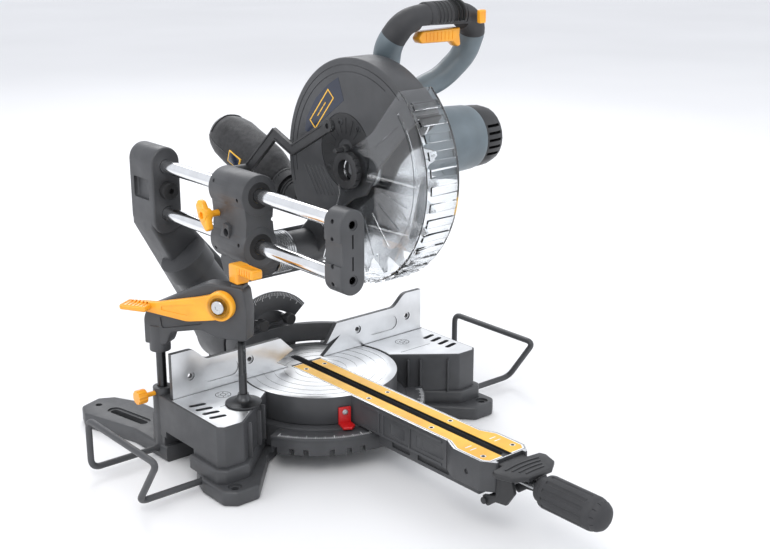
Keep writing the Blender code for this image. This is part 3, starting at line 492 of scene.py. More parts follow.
def add(name, body, finish, shapes, cuts=(), edge=None, stands_for=None, sharp=32):
    """Joins the shapes, takes the cuts away, carries the piece to its place and hangs it on its body."""
    obj = shapes[0]
    combine(obj, shapes[1:], "UNION")
    combine(obj, cuts, "DIFFERENCE")
    bm = bmesh.new()
    bm.from_mesh(obj.data)
    bmesh.ops.remove_doubles(bm, verts=bm.verts, dist=0.004)
    bmesh.ops.dissolve_degenerate(bm, edges=bm.edges, dist=0.004)
    bmesh.ops.recalc_face_normals(bm, faces=bm.faces)
    bm.transform(WORLD)
    bm.to_mesh(obj.data)
    bm.free()
    obj.name = name + "_finished"
    obj.data.name = obj.name
    obj.data.materials.clear()
    obj.data.materials.append(FINISHES[finish])
    obj.data.shade_smooth()
    obj.data.set_sharp_from_angle(angle=radians(sharp))
    width = shape().edge if edge is None else edge * MM
    if width:
        bevel = obj.modifiers.new("Edge break", "BEVEL")
        bevel.width = width
        bevel.segments = 2
        bevel.limit_method = "ANGLE"
        bevel.angle_limit = radians(38)
        bevel.harden_normals = True
    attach(obj, body)
    if stands_for != "":
        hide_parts(stands_for or name)
    finish = {"dark_steel": "steel", "label": "plastic", "mark": "plate"}.get(finish, finish)
    return obj


def extra(name, body, finish, shapes, cuts=(), edge=0.0, sharp=32):
    """A trim piece that the frame has no node for."""
    return add(name, body, finish, shapes, cuts, edge, "", sharp)


def top_finish(obj, finish, height, tolerance=0.7):
    """Gives the faces that lie at a height, in millimetres, a finish of their own."""
    obj.data.materials.append(FINISHES[finish])
    for face in obj.data.polygons:
        level = (face.center.z - ORIGIN.z) / MM
        if face.normal.z > 0.8 and abs(level - height) < tolerance:
            face.material_index = 1


def face_finish(obj, finish, direction):
    """Gives the faces that look one way a finish of their own."""
    obj.data.materials.append(FINISHES[finish])
    for face in obj.data.polygons:
        if face.normal.dot(direction) > 0.85:
            face.material_index = len(obj.data.materials) - 1


def keep(node, finish):
    """Leaves a frame node showing and gives it its finish."""
    obj = frame["nodes"][node]
    obj.data.materials.clear()
    obj.data.materials.append(FINISHES[finish])


def screw(x, y, z, axis, radius, depth=2.0):
    """Socket-head screw whose face looks along an axis such as '-x'."""
    sign = -1 if axis[0] == "-" else 1
    letter = axis[-1]
    at = {"x": x, "y": y, "z": z}[letter]
    centre = {"x": (y, z), "y": (x, z), "z": (x, y)}[letter]
    low, high = sorted((at - sign * depth, at))
    head = rod(letter, centre, radius, low, high, 28, radius * 0.12)
    low, high = sorted((at - sign * depth * 0.6, at + sign * 1.0))
    return combine(head, [rod(letter, centre, radius * 0.5, low, high, 6)], "DIFFERENCE")


# --------------------------------------------------------------------------- base, fence and table

WING = [(60, -20), (100, -20), (146, -58), (174, -80), (200, -80), (207, -73), (207, 72), (201, 78),
        (168, 78),
        (150, 58), (124, 50), (104, 36), (60, 36)]
PLINTH = [(60, -16), (104, -24), (146, -62), (172, -87), (204, -87), (213, -78), (213, -16), (150, 10),
          (60, 10)]
FOOT = [(60, -10), (112, -40), (176, -112), (206, -112), (219, -100), (219, -56), (211, -30), (150, -6),
        (60, 12)]
REAR_FOOT = [(96, 30), (207, 30), (210, 120), (236, 206), (226, 232), (196, 243), (176, 232), (158, 196),
             (150, 120), (96, 60)]
HOLLOW = [(116, -22), (150, -50), (176, -73), (200, -73), (200, 44), (116, 44)]


def base_casting():
    """Base with its wings, feet, sockets and wire holes."""
    solids = []
    cuts = [rod("z", (0, 0), 101.8, -36.4, 4, 160)]
    for side in (1, -1):
        for outline, low, high, soft in ((WING, -54, 0, 1.2), (PLINTH, -70, -51, 3.0),
                                         (FOOT, -86.5, -68, 3.5),
                                         (REAR_FOOT, -86.5, -66, 3.5)):
            solids.append(prism("z", [(x * side, y) for x, y in outline], low, high, soft, 3))
        solids.append(box(152 * side, 206 * side, 50, 77, -80, -30))
        solids.append(rod("z", (197 * side, POST[1]), 12, -80, 8, 40, 1.0))
        for rib in ((118, -39), (131, -49), (160, -72)):
            solids.append(moved(box(rib[0] * side - 1.3, rib[0] * side + 1.3, rib[1] - 3, rib[1] + 6, -52, -6,
                                    0.8),
                                turn("z", -39 * side, (rib[0] * side, rib[1], 0))))
        cuts.append(prism("z", [(x * side, y) for x, y in HOLLOW], -95, -7))
        cuts.append(box(190 * side, 230 * side, -20, 44, -95, -45))
        cuts.append(rod("z", (197 * side, POST[1]), 6.4, -90, 20))
        cuts.append(rod("z", (200 * side, -97), 4.5, -95, -60))
        cuts.append(rod("z", (200 * side, -97), 8.5, -70.5, -60))
        cuts.append(rod("z", (207 * side, 220), 4.5, -95, -60))
        cuts.append(prism("z", slot(194 * side, 162, 34, 5.5, 79 * side), -95, -60))
        cuts.append(prism("z", slot(194 * side, 162, 38, 9.5, 79 * side), -68, -60))
        for y in (-50, POST[1]):
            cuts.append(rod("x", (y, WIRE_Z), 4.5, *sorted((90 * side, 240 * side)), count=32))
        for i in range(4):
            cuts.append(prism("z", slot(side * 188, -2 - 15 * i, 11, 3.4, 12 * side), -12, 4))
    cuts.append(rod("x", (POST[1], 1), 3.4, -230, -199, 32))
    dish = rod("z", (0, 0), 112, -66, -36.4, 120, 1.0)
    cuts.append(lathe("z", (0, 0), [(0, -70), (96, -70), (96, -50), (20, -50), (20, -64), (0, -64)], 72))
    cuts.append(rod("z", (0, 0), SHAFT_BORE, -90, 4, 40))
    add("base_casting", "base", "casting", [dish, *solids], cuts)


def wing_plates():
    """Bare machined lands on the wings, with their lift slots, a scribed line and a turned disc mark."""
    for side, word in ((1, "right"), (-1, "left")):
        rim = [(103.2 * cos(radians(a)), 103.2 * sin(radians(a))) for a in range(-11, 17, 3)]
        outline = [(103.5, -21.5), (146.5, -55.5), (174.5, -77.5), (199, -77.5), (204.5, -72), (204.5, 30.4),
                   (98.7, 30.4)] + rim[::-1]
        plate = prism("z", [(x * side, y) for x, y in outline], 0.02, 0.5, 0.15, 1)
        cuts = [prism("z", slot(side * 188, -2 - 15 * i, 11, 3.4, 12 * side), -2, 4) for i in range(4)]
        extra("wing_land_" + word, "base", "aluminium", [plate], cuts)
        marks = [box(side * 118, side * 170, -24.6, -23.6, 0.4, 0.53)]
        marks.append(lathe("z", (side * 146, 6), [(9.0, 0.4), (9.0, 0.53), (9.9, 0.53), (9.9, 0.4)], 48,
                           True))
        marks.append(lathe("z", (side * 146, 6), [(3.0, 0.4), (3.0, 0.53), (4.0, 0.53), (4.0, 0.4)], 32,
                           True))
        for k in range(6):
            spoke = box(side * 146 + 5.2, side * 146 + 8.0, 5.5, 6.5, 0.4, 0.53)
            marks.append(moved(spoke, turn("z", 60 * k, (side * 146, 6, 0))))
        extra("wing_marks_" + word, "base", "plastic", marks)


def fence(side):
    """One machined fence half: 1 is right, -1 is left."""
    outline = [(28, 0.3), (60, 0.3), (202, 0.3), (202, 59), (176, 59)]
    outline += [(176 - 2 * i, 59 - 17 * (0.5 - 0.5 * cos(pi * i / 14))) for i in range(1, 15)]
    outline += [(52, 42), (34, 16), (58, 24)] if side > 0 else [(40, 42), (20, 22), (46, 10)]
    if side < 0:
        outline[0] = (29, 0.3)
    plate = prism("y", [(x * side, z) for x, z in outline], FENCE_Y, FENCE_Y + 7, 0.5, 2)
    foot = box(124 * side, 188 * side, FENCE_Y + 3, FENCE_Y + 20, 0.3, 7, 0.6)
    cuts = [rod("y", (x * side, 25), 3.2, 20, 60, 32) for x in (88, 176)]
    cuts += [rod("y", (x * side, 25), 5.6, 20, FENCE_Y + 1.6, 32) for x in (88, 176)]
    cuts += [rod("z", (x * side, FENCE_Y + 14), 3.0, -4, 20, 28) for x in (136, 176)]
    cuts.append(prism("y", slot(132 * side, 21, 26, 10, 0), FENCE_Y - 2, FENCE_Y + 0.9))
    obj = add("fence_right" if side > 0 else "fence_left", "base", "casting", [plate, foot], cuts, 0.35)
    face_finish(obj, "aluminium", Vector((0, -1, 0)))


def fence_parts():
    """Both fence halves, their screws and the bridge behind the table."""
    fence(1)
    fence(-1)
    for side, word in ((1, "right"), (-1, "left")):
        heads = [screw(x * side, FENCE_Y + 14, 9.4, "+z", 5.0, 2.3) for x in (136, 176)]
        extra("fence_screws_" + word, "base", "dark_steel", heads)
    wall = prism("z", flat_arc(112, 248, 104.5, 60) + flat_arc(112, 248, 112.5, 60)[::-1], 0.3, 26, 0.8)
    add("fence_bridge", "base", "casting", [wall], [], 0.0)


def scale_plate():
    """Notched miter scale with its tick marks."""
    plate = prism("z", flat_arc(-64, 64, 112.6, 90) + flat_arc(-64, 64, 137, 90)[::-1], -42, -38.4, 0.4, 2)
    rim = prism("z", flat_arc(-64, 64, 129, 90) + flat_arc(-64, 64, 135.5, 90)[::-1], -61, -40.5, 0.5, 2)
    web = prism("z", flat_arc(-64, 64, 112.6, 90) + flat_arc(-64, 64, 131, 90)[::-1], -47, -41.3)
    notches = []
    for angle in (-62, -52.5, -45, -31.6, -22.5, -15, 0, 15, 22.5, 31.6, 45, 52.5, 62):
        notches.append(moved(box(-3.2, 3.2, -150, -110, -66, -53), turn("z", angle)))
    add("miter_scale_plate", "base", "casting", [plate, rim, web], notches)
    bm = bmesh.new()
    for step in range(-60, 61):
        length = 8.5 if step % 15 == 0 else 6.2 if step % 5 == 0 else 4.2
        lift = Matrix.Translation((0, -135.4 + length / 2, -38.36))
        stretch = Matrix.Diagonal((0.8 if step % 5 == 0 else 0.5, length, 0.1, 1))
        bmesh.ops.create_cube(bm, size=1, matrix=Matrix.Rotation(radians(step), 4, "Z") @ lift @ stretch)
    extra("miter_scale_marks", "base", "mark", [temp(bm)])


PLATE_EDGE = [(24, 29), (23.4, 24), (23.4, -273), (32.5, -292), (32.5, -334), (27, -341)]


def turntable():
    """Turned disc with its grooves, and the arm that runs to the front."""
    disc = rod("z", (0, 0), TABLE_R, -35.6, 0, 180, 0.6)
    arm = box(-25.6, 25.6, -300, -60, -35.9, -0.05, 0.8)
    nose = [(-25.6, -270), (-35, -290), (-35, -333), (-24, -348), (24, -348), (35, -333), (35, -290),
            (25.6, -270)]
    front = prism("z", nose, -36.2, 0, 1.2, 3)
    keel = box(-20, 20, -318, -142, -52, -30, 2.5, 3)
    neck = box(-34, 34, 60, 147, -34.6, -4, 3.0, 3)
    drum = rod("y", (0, 0), 48, 118, 150, 120, 1.2)
    cheek = prism("y", [(-44, -30), (44, -30), (30, 30), (-30, 30)], 114, 130, 0.6)
    solids = [disc, arm, front, keel, neck, drum, cheek]
    for side in (1, -1):
        for y in (-150, -158, -206, -280):
            solids.append(box(side * 24, side * 27.2, y - 1.4, y + 1.4, -33, -3, 0.6))
        solids.append(box(side * 24, side * 26.9, -262, -118, -6.5, -3.2, 0.6))
        solids.append(box(side * 24, side * 26.9, -262, -118, -34.6, -31.5, 0.6))
    recess = [(24.3, 32)] + [(x + 0.3, y) for x, y in PLATE_EDGE[1:]] + [(27, -341.4)]
    recess = recess + [(-x, y) for x, y in recess[::-1]]
    cuts = [prism("z", recess, -3.3, 2)]
    cuts.append(prism("z", slot(0, -135, 196, 6.0, 90), -31, 2))
    cuts.append(rod("z", (0, 0), SHAFT_BORE, -40, -13.5, 40))
    cuts.append(lathe("z", (0, 0), [(0, -40), (88, -40), (88, -34.5), (0, -34.5)], 72))
    cuts.append(rod("y", (0, 0), SHAFT_BORE, 110, 152, 40))
    cuts.append(rod("y", (0, 0), 16, 108, 118.4, 48))
    cuts.append(rod("y", (0, -21), 5.4, -360, -300, 40))
    count = shape().grooves
    for i in range(count):
        r = 34 + 54.0 * i / max(1, count - 1)
        cuts.append(lathe("z", (0, 0), [(r - 0.7, 2), (r - 0.5, -0.3), (r + 0.5, -0.3), (r + 0.7, 2)], 120,
                          True))
    for side in (1, -1):
        for y0, y1 in ((-200, -168), (-268, -214)):
            cuts.append(box(side * 17, side * 30, y0, y1, -46, -39, 0.8, 1))
            cuts.append(box(side * 24.4, side * 30, y0 + 3, y1 - 3, -27, -12, 1.5, 2))
        cuts.append(box(side * 24.6, side * 30, -271, -269.6, -40, 2))
        cuts.append(rod("x", (-232, -20), 5.0, *sorted((side * 24.2, side * 40)), count=40))
        cuts.append(rod("x", (-312, -20), 3.2, *sorted((side * 33, side * 40)), count=32))
    cuts.append(box(-21, 21, -352, -343, -14, 4))
    obj = add("turntable", "turntable", "casting", solids, cuts)
    top_finish(obj, "aluminium", 0)


def table_parts():
    """Kerf plates, pointer, bevel scale and bevel stops."""
    for side, word in ((1, "right"), (-1, "left")):
        outline = [(7.0, 29)] + PLATE_EDGE + [(7.0, -341)]
        holes = [(15 if y > -300 else 23, y) for y in (10, -118, -232, -326)]
        plate = prism("z", [(x * side, y) for x, y in outline], -3, 0.0, 0.3, 1)
        cuts = [rod("z", (x * side, y), 2.2, -5, 3, 24) for x, y in holes]
        obj = add("kerf_plate_" + word, "turntable", "plastic", [plate], cuts, 0.0)
        face_finish(obj, "mark", Vector((0, 0, 1)))
        inset = [(7.0, 27.5), (22.4, 27.5), (21.6, 24), (21.6, -273.6), (30.2, -292.4), (30.2, -332),
                 (25.6, -338.6),
                 (7.0, -338.6)]
        inlay = prism("z", [(x * side, y) for x, y in inset], -0.3, 0.19, 0.08, 1)
        cuts = [rod("z", (x * side, y), 3.4, -5, 3, 28) for x, y in holes]
        for y in (-298, -306):
            cuts.append(prism("z", slot(side * 19, y, 5, 1.0, 0), -0.1, 2))
        extra("kerf_insert_" + word, "turntable", "plate", [inlay], cuts)
        heads = [screw(x * side, y, -0.15, "+z", 3.2, 2.4) for x, y in holes]
        extra("kerf_screws_" + word, "turntable", "dark_steel", heads)
    lean = turn("z", -20.5)
    upright = moved(box(-8, 8, -104, -100.6, -34, -13, 1.0, 3), lean)
    toe = moved(prism("z", [(-8, -100.6), (8, -100.6), (10, -114), (4, -121), (-7, -119)], -36.4, -33, 0.8,
                      3), lean)
    hole = moved(rod("y", (0, -19), 2.4, -110, -90, 24), lean)
    add("miter_pointer", "turntable", "red", [upright, toe], [hole], 0.0)
    head = moved(screw(0, -105.4, -19, "-y", 3.6, 1.8), lean)
    extra("pointer_screw", "turntable", "steel", [head])
    fan = arc(40, 140, 76, 60, (0, 0)) + arc(140, 40, 50, 60, (0, 0))
    plate = prism("y", [(-y, z) for y, z in fan], 110.4, 113.7, 0.5)
    add("bevel_scale", "turntable", "casting", [plate], [], 0.0)
    bm = bmesh.new()
    for step in range(-48, 49, 2):
        length = 8 if step % 10 == 0 else 4.5
        lift = Matrix.Translation((0, 110.36, 75 - length / 2)) @ Matrix.Diagonal((0.5, 0.1, length, 1))
        bmesh.ops.create_cube(bm, size=1, matrix=Matrix.Rotation(radians(step), 4, "Y") @ lift)
    extra("bevel_scale_marks", "turntable", "mark", [temp(bm)])
    for side, word in ((1, "right"), (-1, "left")):
        stem = rod("y", (side * 22, 38), 3.5, 96, 113.7, 28)
        knob = lathe("y", (side * 22, 38), [(0, 92), (7, 92), (8, 93), (8, 102), (6, 103), (0, 103)], 48)
        notches = [rod("y", (side * 22 + 8.6 * cos(pi * k / 6), 38 + 8.6 * sin(pi * k / 6)), 1.0, 90, 101, 10)
                   for k in range(12)]
        add("bevel_stop_" + word, "turntable", "plastic", [stem, knob], notches, 0.0)


def miter_handle():
    """Lock rod, fluted grip and detent lever."""
    rod_bar = lathe("y", (0, -21), [(0, -403.4), (4.4, -403.4), (5, -402.8), (5, -306), (0, -306)], 48)
    add("miter_lock_rod", "miter_lock", "steel", [rod_bar], [], 0.0)
    profile = [(0, -405), (5.3, -405), (5.3, -392), (12, -392), (13.6, -392.8), (14.3, -394), (14.3, -399),
               (16.6, -401), (18.4, -402.6), (19, -405), (19, -468), (18.4, -471), (17, -473), (17, -476),
               (14.6, -480.5), (9.5, -484), (0, -486)]
    grip = lathe("y", (0, -21), profile, 96)
    flutes = []
    for i in range(12):
        a = 2 * pi * i / 12
        ends = [(20.9 * cos(a), y, -21 + 20.9 * sin(a)) for y in (-464, -408)]
        flutes.append(between(*ends, 3.0, count=20))
        flutes.append(moved(box(-0.25, 0.25, -484.5, -474, 15.2, 20), Matrix.Translation((0, 0, -21))
                            @ Matrix.Rotation(a + pi / 12, 4, "Y")))
    add("miter_lock_grip", "miter_lock", "grip", [grip], flutes, 0.3)
    pad = [(-20, -344), (20, -344), (20, -352), (37, -354), (40, -362), (34, -380), (18, -391), (-18, -391),
           (-34, -380), (-40, -362), (-37, -354), (-20, -352)]
    solids = [prism("z", pad, -9, -3, 2.0, 3)]
    for side in (1, -1):
        cheek = [(-352, -8), (-372, -8), (-378, -26), (-366, -44), (-350, -46), (-338, -55), (-330, -52),
                 (-330, -44), (-350, -38)]
        solids.append(prism("x", cheek, *sorted((side * 22, side * 27)), 1.2))
    for k in range(4):
        sweep_out = [(x, -359 - 7 * k - 0.004 * x * x) for x in range(-26 + 4 * k, 27 - 4 * k, 4)]
        back = [(x, y - 2.6) for x, y in sweep_out[::-1]]
        solids.append(prism("z", sweep_out + back, -4, -2.1, 0.5))
    solids.append(rod("x", (-334, -49.0), 4, -30, 30, 32, 0.6))
    solids.append(box(-22.5, 22.5, -372, -366, -14, -7))
    add("detent_lever", "detent", "plastic", solids, [rod("y", (0, -21), 8, -400, -320, 40)], 0.4)


# --------------------------------------------------------------------------- bevel arm and slide

def bevel_arm():
    """Tilting arm with its barrel, rails, front block, bumper and lock lever."""
    hub = rod("y", (0, 0), 48, 155, 226, 120, 2.0)
    leg = [(-124, 168), (-64, 56), (-44, 6), (-26, -36), (26, -36), (44, 6), (26, 50), (-2, 90), (-58, 156),
           (-82, 184), (-82, 200), (-124, 200)]
    spine = prism("y", leg, 196, 250, 5.0, 4)
    block = prism("y", stadium(RAIL_X, 180, RAIL_HIGH + 4, 21, 28), 190, 250, 3.0, 4)
    barrel = between((-4, 190, 8), (-80, 190, 122), 32, 30, 96)
    collar = between((-70, 190, 107), (-84, 190, 128), 33.5, 33.5, 96)
    rib = between((-36, 190, 56), (-40, 190, 62), 33.2, 33.2, 96)
    cuts = [rod("y", (RAIL_X, z), RAIL_R + 0.3, 180, 246, 64) for z in (RAIL_LOW, RAIL_HIGH)]
    cuts.append(box(-130, -117.5, 201, 239, 206, 234, 3.0, 3))
    cuts.append(rod("y", (0, 0), SHAFT_BORE, 150, 260, 40))
    for angle in (-28, 28):
        panel = moved(box(-13, 13, 154, 161, 28, 78, 4.0, 3), turn("z", angle, (0, 190, 0)))
        cuts.append(moved(panel, turn("y", -33.7, (-2, 190, 6))))
    for x, z in ((-112, 262), (-94, 262), (-112, 176), (-94, 176)):
        cuts.append(rod("y", (x, z), 2.2, 247, 256, 20))
    add("bevel_arm", "bevel_arm", "casting", [hub, spine, block, barrel, collar, rib], cuts, 0.6)
    screws = [screw(-123.4, 214, z, "-x", 3.4, 2.2) for z in (RAIL_LOW - 4, RAIL_HIGH + 2)]
    extra("rear_block_screws", "bevel_arm", "steel", screws)
    for z, name in ((RAIL_HIGH, "rail_upper"), (RAIL_LOW, "rail_lower")):
        tube = lathe("y", (RAIL_X, z), [(8.2, -196), (9, -195.2), (9, 243.2), (8.2, 244), (6.5, 244),
                                        (6.5, -196)],
                     72, True)
        add(name, "bevel_arm", "chrome", [tube], [], 0.0)
    front = prism("y", stadium(RAIL_X, RAIL_LOW, RAIL_HIGH, 17, 28), -199, -169, 2.0, 4)
    cuts = [rod("y", (RAIL_X, z), RAIL_R + 0.3, -196.3, -160, 64) for z in (RAIL_LOW, RAIL_HIGH)]
    cuts += [rod("y", (RAIL_X, z), 4.6, -210, -190, 40) for z in (RAIL_LOW, RAIL_HIGH)]
    cuts += [rod("y", (RAIL_X, z), 6.4, -210, -198, 40) for z in (RAIL_LOW, RAIL_HIGH)]
    for low, high in ((RAIL_HIGH - 27, RAIL_HIGH - 11), (RAIL_LOW + 11, RAIL_LOW + 27)):
        cuts.append(box(RAIL_X - 1.1, RAIL_X + 1.1, -210, -194, low, high))
    for z in (RAIL_HIGH + 4, RAIL_HIGH - 16, RAIL_LOW + 16, RAIL_LOW - 4):
        cuts.append(rod("x", (-184, z), 2.6, -130, -116, 24))
    cuts.append(box(-121, -117.5, -205, -160, 206, 233, 1.5, 2))
    add("rail_front_block", "bevel_arm", "casting", [front], cuts, 0.4)
    profile = [(0, 178.3), (9, 178.3), (10.6, 178.9), (11.5, 180), (11.5, 189.7), (0, 189.7)]
    bumper = lathe("y", (RAIL_X, 219.5), profile, 64)
    add("rail_bumper", "bevel_arm", "rubber", [bumper], [rod("y", (RAIL_X, 219.5), 4, 170, 184, 6)], 0.0)
    boss = lathe("y", (0, 0), [(0, 250.4), (15, 250.4), (15, 262), (13.4, 264), (0, 264)], 64)
    handle = box(-8, 8, 253, 261, -60, 0, 3.5, 4)
    add("bevel_lock_lever", "bevel_lock", "plastic", [boss, handle],
        [rod("y", (0, 0), SHAFT_BORE, 245, 270, 40)], 0.0)


def carriage():
    """Sliding carriage with its wipers and wing knob."""
    y0, y1 = -23, 50
    upper = rod("y", (RAIL_X, RAIL_HIGH), 25, y0, y1, 96, 1.8)
    lower = rod("y", (RAIL_X, RAIL_LOW), 25, y0, y1, 96, 1.8)
    waist = [(-23, RAIL_LOW), (-20.5, 204), (-19, 219.5), (-20.5, 235), (-23, RAIL_HIGH)]
    web_outline = [(RAIL_X + x, z) for x, z in waist] + [(RAIL_X - x, z) for x, z in waist[::-1]]
    web = prism("y", web_outline, y0 + 1, y1 - 1, 0.6)
    shelf = prism("x", [(-4, 172), (40, 182), (72, 176), (80, 150), (72, 128), (44, 126), (14, 150)], -96,
                  -46, 3.0, 3)
    near = rod("x", CHOP, 27, -72, -46, 96, 1.5)
    far = rod("x", CHOP, 23, 42, 56, 80, 1.5)
    far_arm = prism("x", [(48, 132), (70, 115), (86, 118), (87, 166), (60, 174)], 42.5, 55.5, 1.5)
    tie = prism("x", [(66, 128), (66, 114), (84, 114), (88, 128), (88, 166), (80, 172), (77, 160), (77, 134)],
                -62, 56, 1.4)
    lug = prism("x", [(26, 236), (40, 264), (78, 266), (87, 258), (84, 248), (50, 232)], -84, -77.5, 1.4)
    plate = prism("x", [(8, 196), (8, 212), (20, 214), (28, 196)], -128, -120, 1.5)
    cuts = [rod("y", (RAIL_X, z), 13, -30, 60, 64) for z in (RAIL_LOW, RAIL_HIGH)]
    cuts.append(rod("x", CHOP, SHAFT_BORE, -80, 60, 40))
    cuts.append(rod("x", (78, 258), 3.3, -90, -70, 28))
    cuts.append(rod("x", (38, 222), 4.4, -140, -112, 32))
    cuts.append(rod("x", (14, 203), 5.0, -140, -118, 40))
    cuts.append(rod("y", (-84, 219.5), 2.5, -30, -14, 28))
    for y, z in ((-12, 247), (-12, 192), (40, 262), (40, 178)):
        cuts.append(rod("x", (y, z), 2.4, -140, -124, 24))
    shapes = [upper, lower, web, shelf, near, tie, far_arm, far, lug, plate]
    add("carriage", "carriage", "casting", shapes, cuts, 0.5)
    for z, word in ((RAIL_HIGH, "upper"), (RAIL_LOW, "lower")):
        ring_seal = lathe("y", (RAIL_X, z), [(9.3, -23.6), (15.5, -23.6), (16.4, -22.8), (9.3, -22.8)], 64,
                          True)
        extra("wiper_" + word, "carriage", "rubber", [ring_seal])
    stem = rod("x", (38, 222), 4, -135, -113.5, 32)
    hub = rod("x", (38, 222), 8, -146, -134, 48, 1.4)
    wing = prism("x", [(26, 206), (33, 202), (48, 216), (54, 232), (48, 240), (41, 238), (30, 222)], -145,
                 -136,
                 2.6, 4)
    add("slide_lock_knob", "slide_lock", "yellow", [stem, hub, wing],
        [rod("x", (38, 222), 4.4, -147, -143, 32)], 0.0)


# --------------------------------------------------------------------------- head: guard, gear case, motor

UPPER_R = 129.5
UPPER_HALF = 19.0
COVER = (-81.0, 302.0)


def upper_guard():
    """Fixed shell over the blade."""
    low, high = 33, 214
    outline = arc(low, high, UPPER_R, 72)
    outline += [around(235, 96), around(250, 52), around(-90, 36), around(-50, 36), around(-15, 38),
                around(8, 46),
                around(22, 70)]
    shell = prism("x", outline, -UPPER_HALF, UPPER_HALF, 2.6, 4)
    inner = arc(low + 3, high - 2, UPPER_R - 2.5, 72)
    inner += [around(high - 2, 150), around(235, 150), around(270, 150), around(310, 150),
              around(low + 3, 150)]
    hollow = prism("x", inner, -UPPER_HALF + 2.5, UPPER_HALF - 2.5)
    cuts = [hollow, rod("x", BLADE, 42.5, 5, 30, 80), rod("x", BLADE, 12.5, -30, 0, 56)]
    cuts.append(box(-12, 12, 18, 50, 222, 246, 2.0))
    face = -UPPER_HALF
    for r, low_at, high_at in ((121, 48, 196), (113, 60, 190)):
        groove = prism("x", arc(low_at, high_at, r + 0.7, 48) + arc(low_at, high_at, r - 0.7, 48)[::-1],
                       face - 2, face + 0.7)
        cuts.append(groove)
    cuts.append(prism("x", ring(72, 46, COVER), face - 2, face + 1.2))
    add("upper_guard", "head", "casting", [shell], cuts, 0.5)


def guard_trim():
    """Arbor cover, blank label and fixings on the guard's near face."""
    face = -UPPER_HALF
    plate = lathe("x", COVER, [(15, face + 1.1), (44, face + 1.1), (45, face + 0.4), (45, face + 0.15),
                               (43.2, face + 0.15), (40, face + 0.55), (15, face + 0.55)], 96, True)
    ribs = []
    for i in range(18):
        a = radians(20 * i)
        bar = box(face + 0.1, face + 0.9, -0.8, 0.8, 22, 40)
        ribs.append(moved(bar, Matrix.Translation((0, *COVER)) @ Matrix.Rotation(a, 4, "X")))
    bore = rod("x", BLADE, 26, -30, 0, 56)
    extra("arbor_cover", "head", "plastic", [plate, *ribs], [bore])
    heads = [screw(face + 0.1, y, z, "-x", 4.2, 2.0) for y, z in ((-104, 332), (-48, 278), (-72, 336))]
    extra("guard_screws", "head", "dark_steel", heads)
    slats = []
    for i in range(6):
        y, z = -50 + 7.5 * i, 262 - 1.0 * i
        slats.append(moved(box(face - 0.5, face + 1, -1.4, 1.4, -21, 21, 0.4, 2),
                           Matrix.Translation((0, y, z)) @ Matrix.Rotation(radians(-38), 4, "X")))
    extra("guard_slats", "head", "casting", slats)
    band = [(-69, 388), (-79, 362), (-43, 337), (-8, 315), (-2, 316), (-6, 332), (-25, 358), (-50, 378)]
    extra("label_band", "head", "label", [prism("x", band, face - 0.25, face + 0.3, 0.1, 1)])
    tag = prism("x", tilted(28, 7.5), face - 0.45, face - 0.1)
    window = prism("x", tilted(26.5, 6.0), face - 2, face + 2)
    bars = [prism("x", tilted(5 - 2 * abs(k), 0.7, 9.0 * k), face - 0.45, face - 0.1) for k in (-1, 0, 1)]
    extra("label_frame", "head", "plate", [tag], [window])
    extra("label_bars", "head", "plate", bars)


def tilted(half_long, half_wide, along=0.0):
    """Corners (y, z) of a strip on the guard's face, leaning the way the label does."""
    run, rise = Vector((-0.66, 0.751)), Vector((0.751, 0.66))
    middle = Vector((-36.5, 346.5)) + run * along
    return [tuple(middle + run * half_long * a + rise * half_wide * b) for a,
            b in ((-1, -1), (1, -1), (1, 1), (-1, 1))]


def gear_case():
    """Gear case with the arm to the chop pivot, and the return spring."""
    barrel = rod("x", BLADE, 42, 19.4, 48, 96, 1.6)
    flange = rod("x", MOTOR, MOTOR_R + 3, 44, 58, 96, 1.6)
    spine = [around(200, 38), around(232, 38), (CHOP[0] - 6, CHOP[1] - 22), (CHOP[0] + 20, CHOP[1] - 8),
             (CHOP[0] + 16, CHOP[1] + 20), (0, 234)]
    arm = prism("x", spine, 20, 40, 2.4, 3)
    boss = rod("x", CHOP, 23, -44, 41, 72, 1.4)
    cuts = [rod("x", CHOP, SHAFT_BORE, -60, 60, 48), rod("x", BLADE, 9, 10, 30, 48)]
    cuts += [rod("x", BLADE, 33, 26, 46, 64), rod("x", MOTOR, 30, 40, 62, 64),
             rod("x", MOTOR, 13, 25.8, 42, 40)]
    pocket = [(-44, 226), (-16, 214), (34, 168), (22, 154), (-16, 184)]
    cuts.append(prism("x", pocket, 38.4, 44))
    for angle in (45, 135, 225, 315):
        y, z = around(angle, MOTOR_R - 3, MOTOR)
        cuts.append(rod("x", (y, z), 2.2, 56, 60, 20))
    add("gear_case", "head", "casting", [barrel, flange, arm, boss], cuts, 0.5)
    shafts = [rod("x", CHOP, 26.6, -42, -16, 96, 0.6)]
    grooves = []
    for i in range(7):
        x = -39.6 + 3.4 * i
        profile = [(25.2, x - 0.5), (27.4, x - 0.9), (27.4, x + 0.9), (25.2, x + 0.5)]
        grooves.append(lathe("x", CHOP, profile, 72, True))
    add("head_spring", "head", "steel", shafts, [rod("x", CHOP, 23.9, -50, 0, 96), *grooves], 0.0)


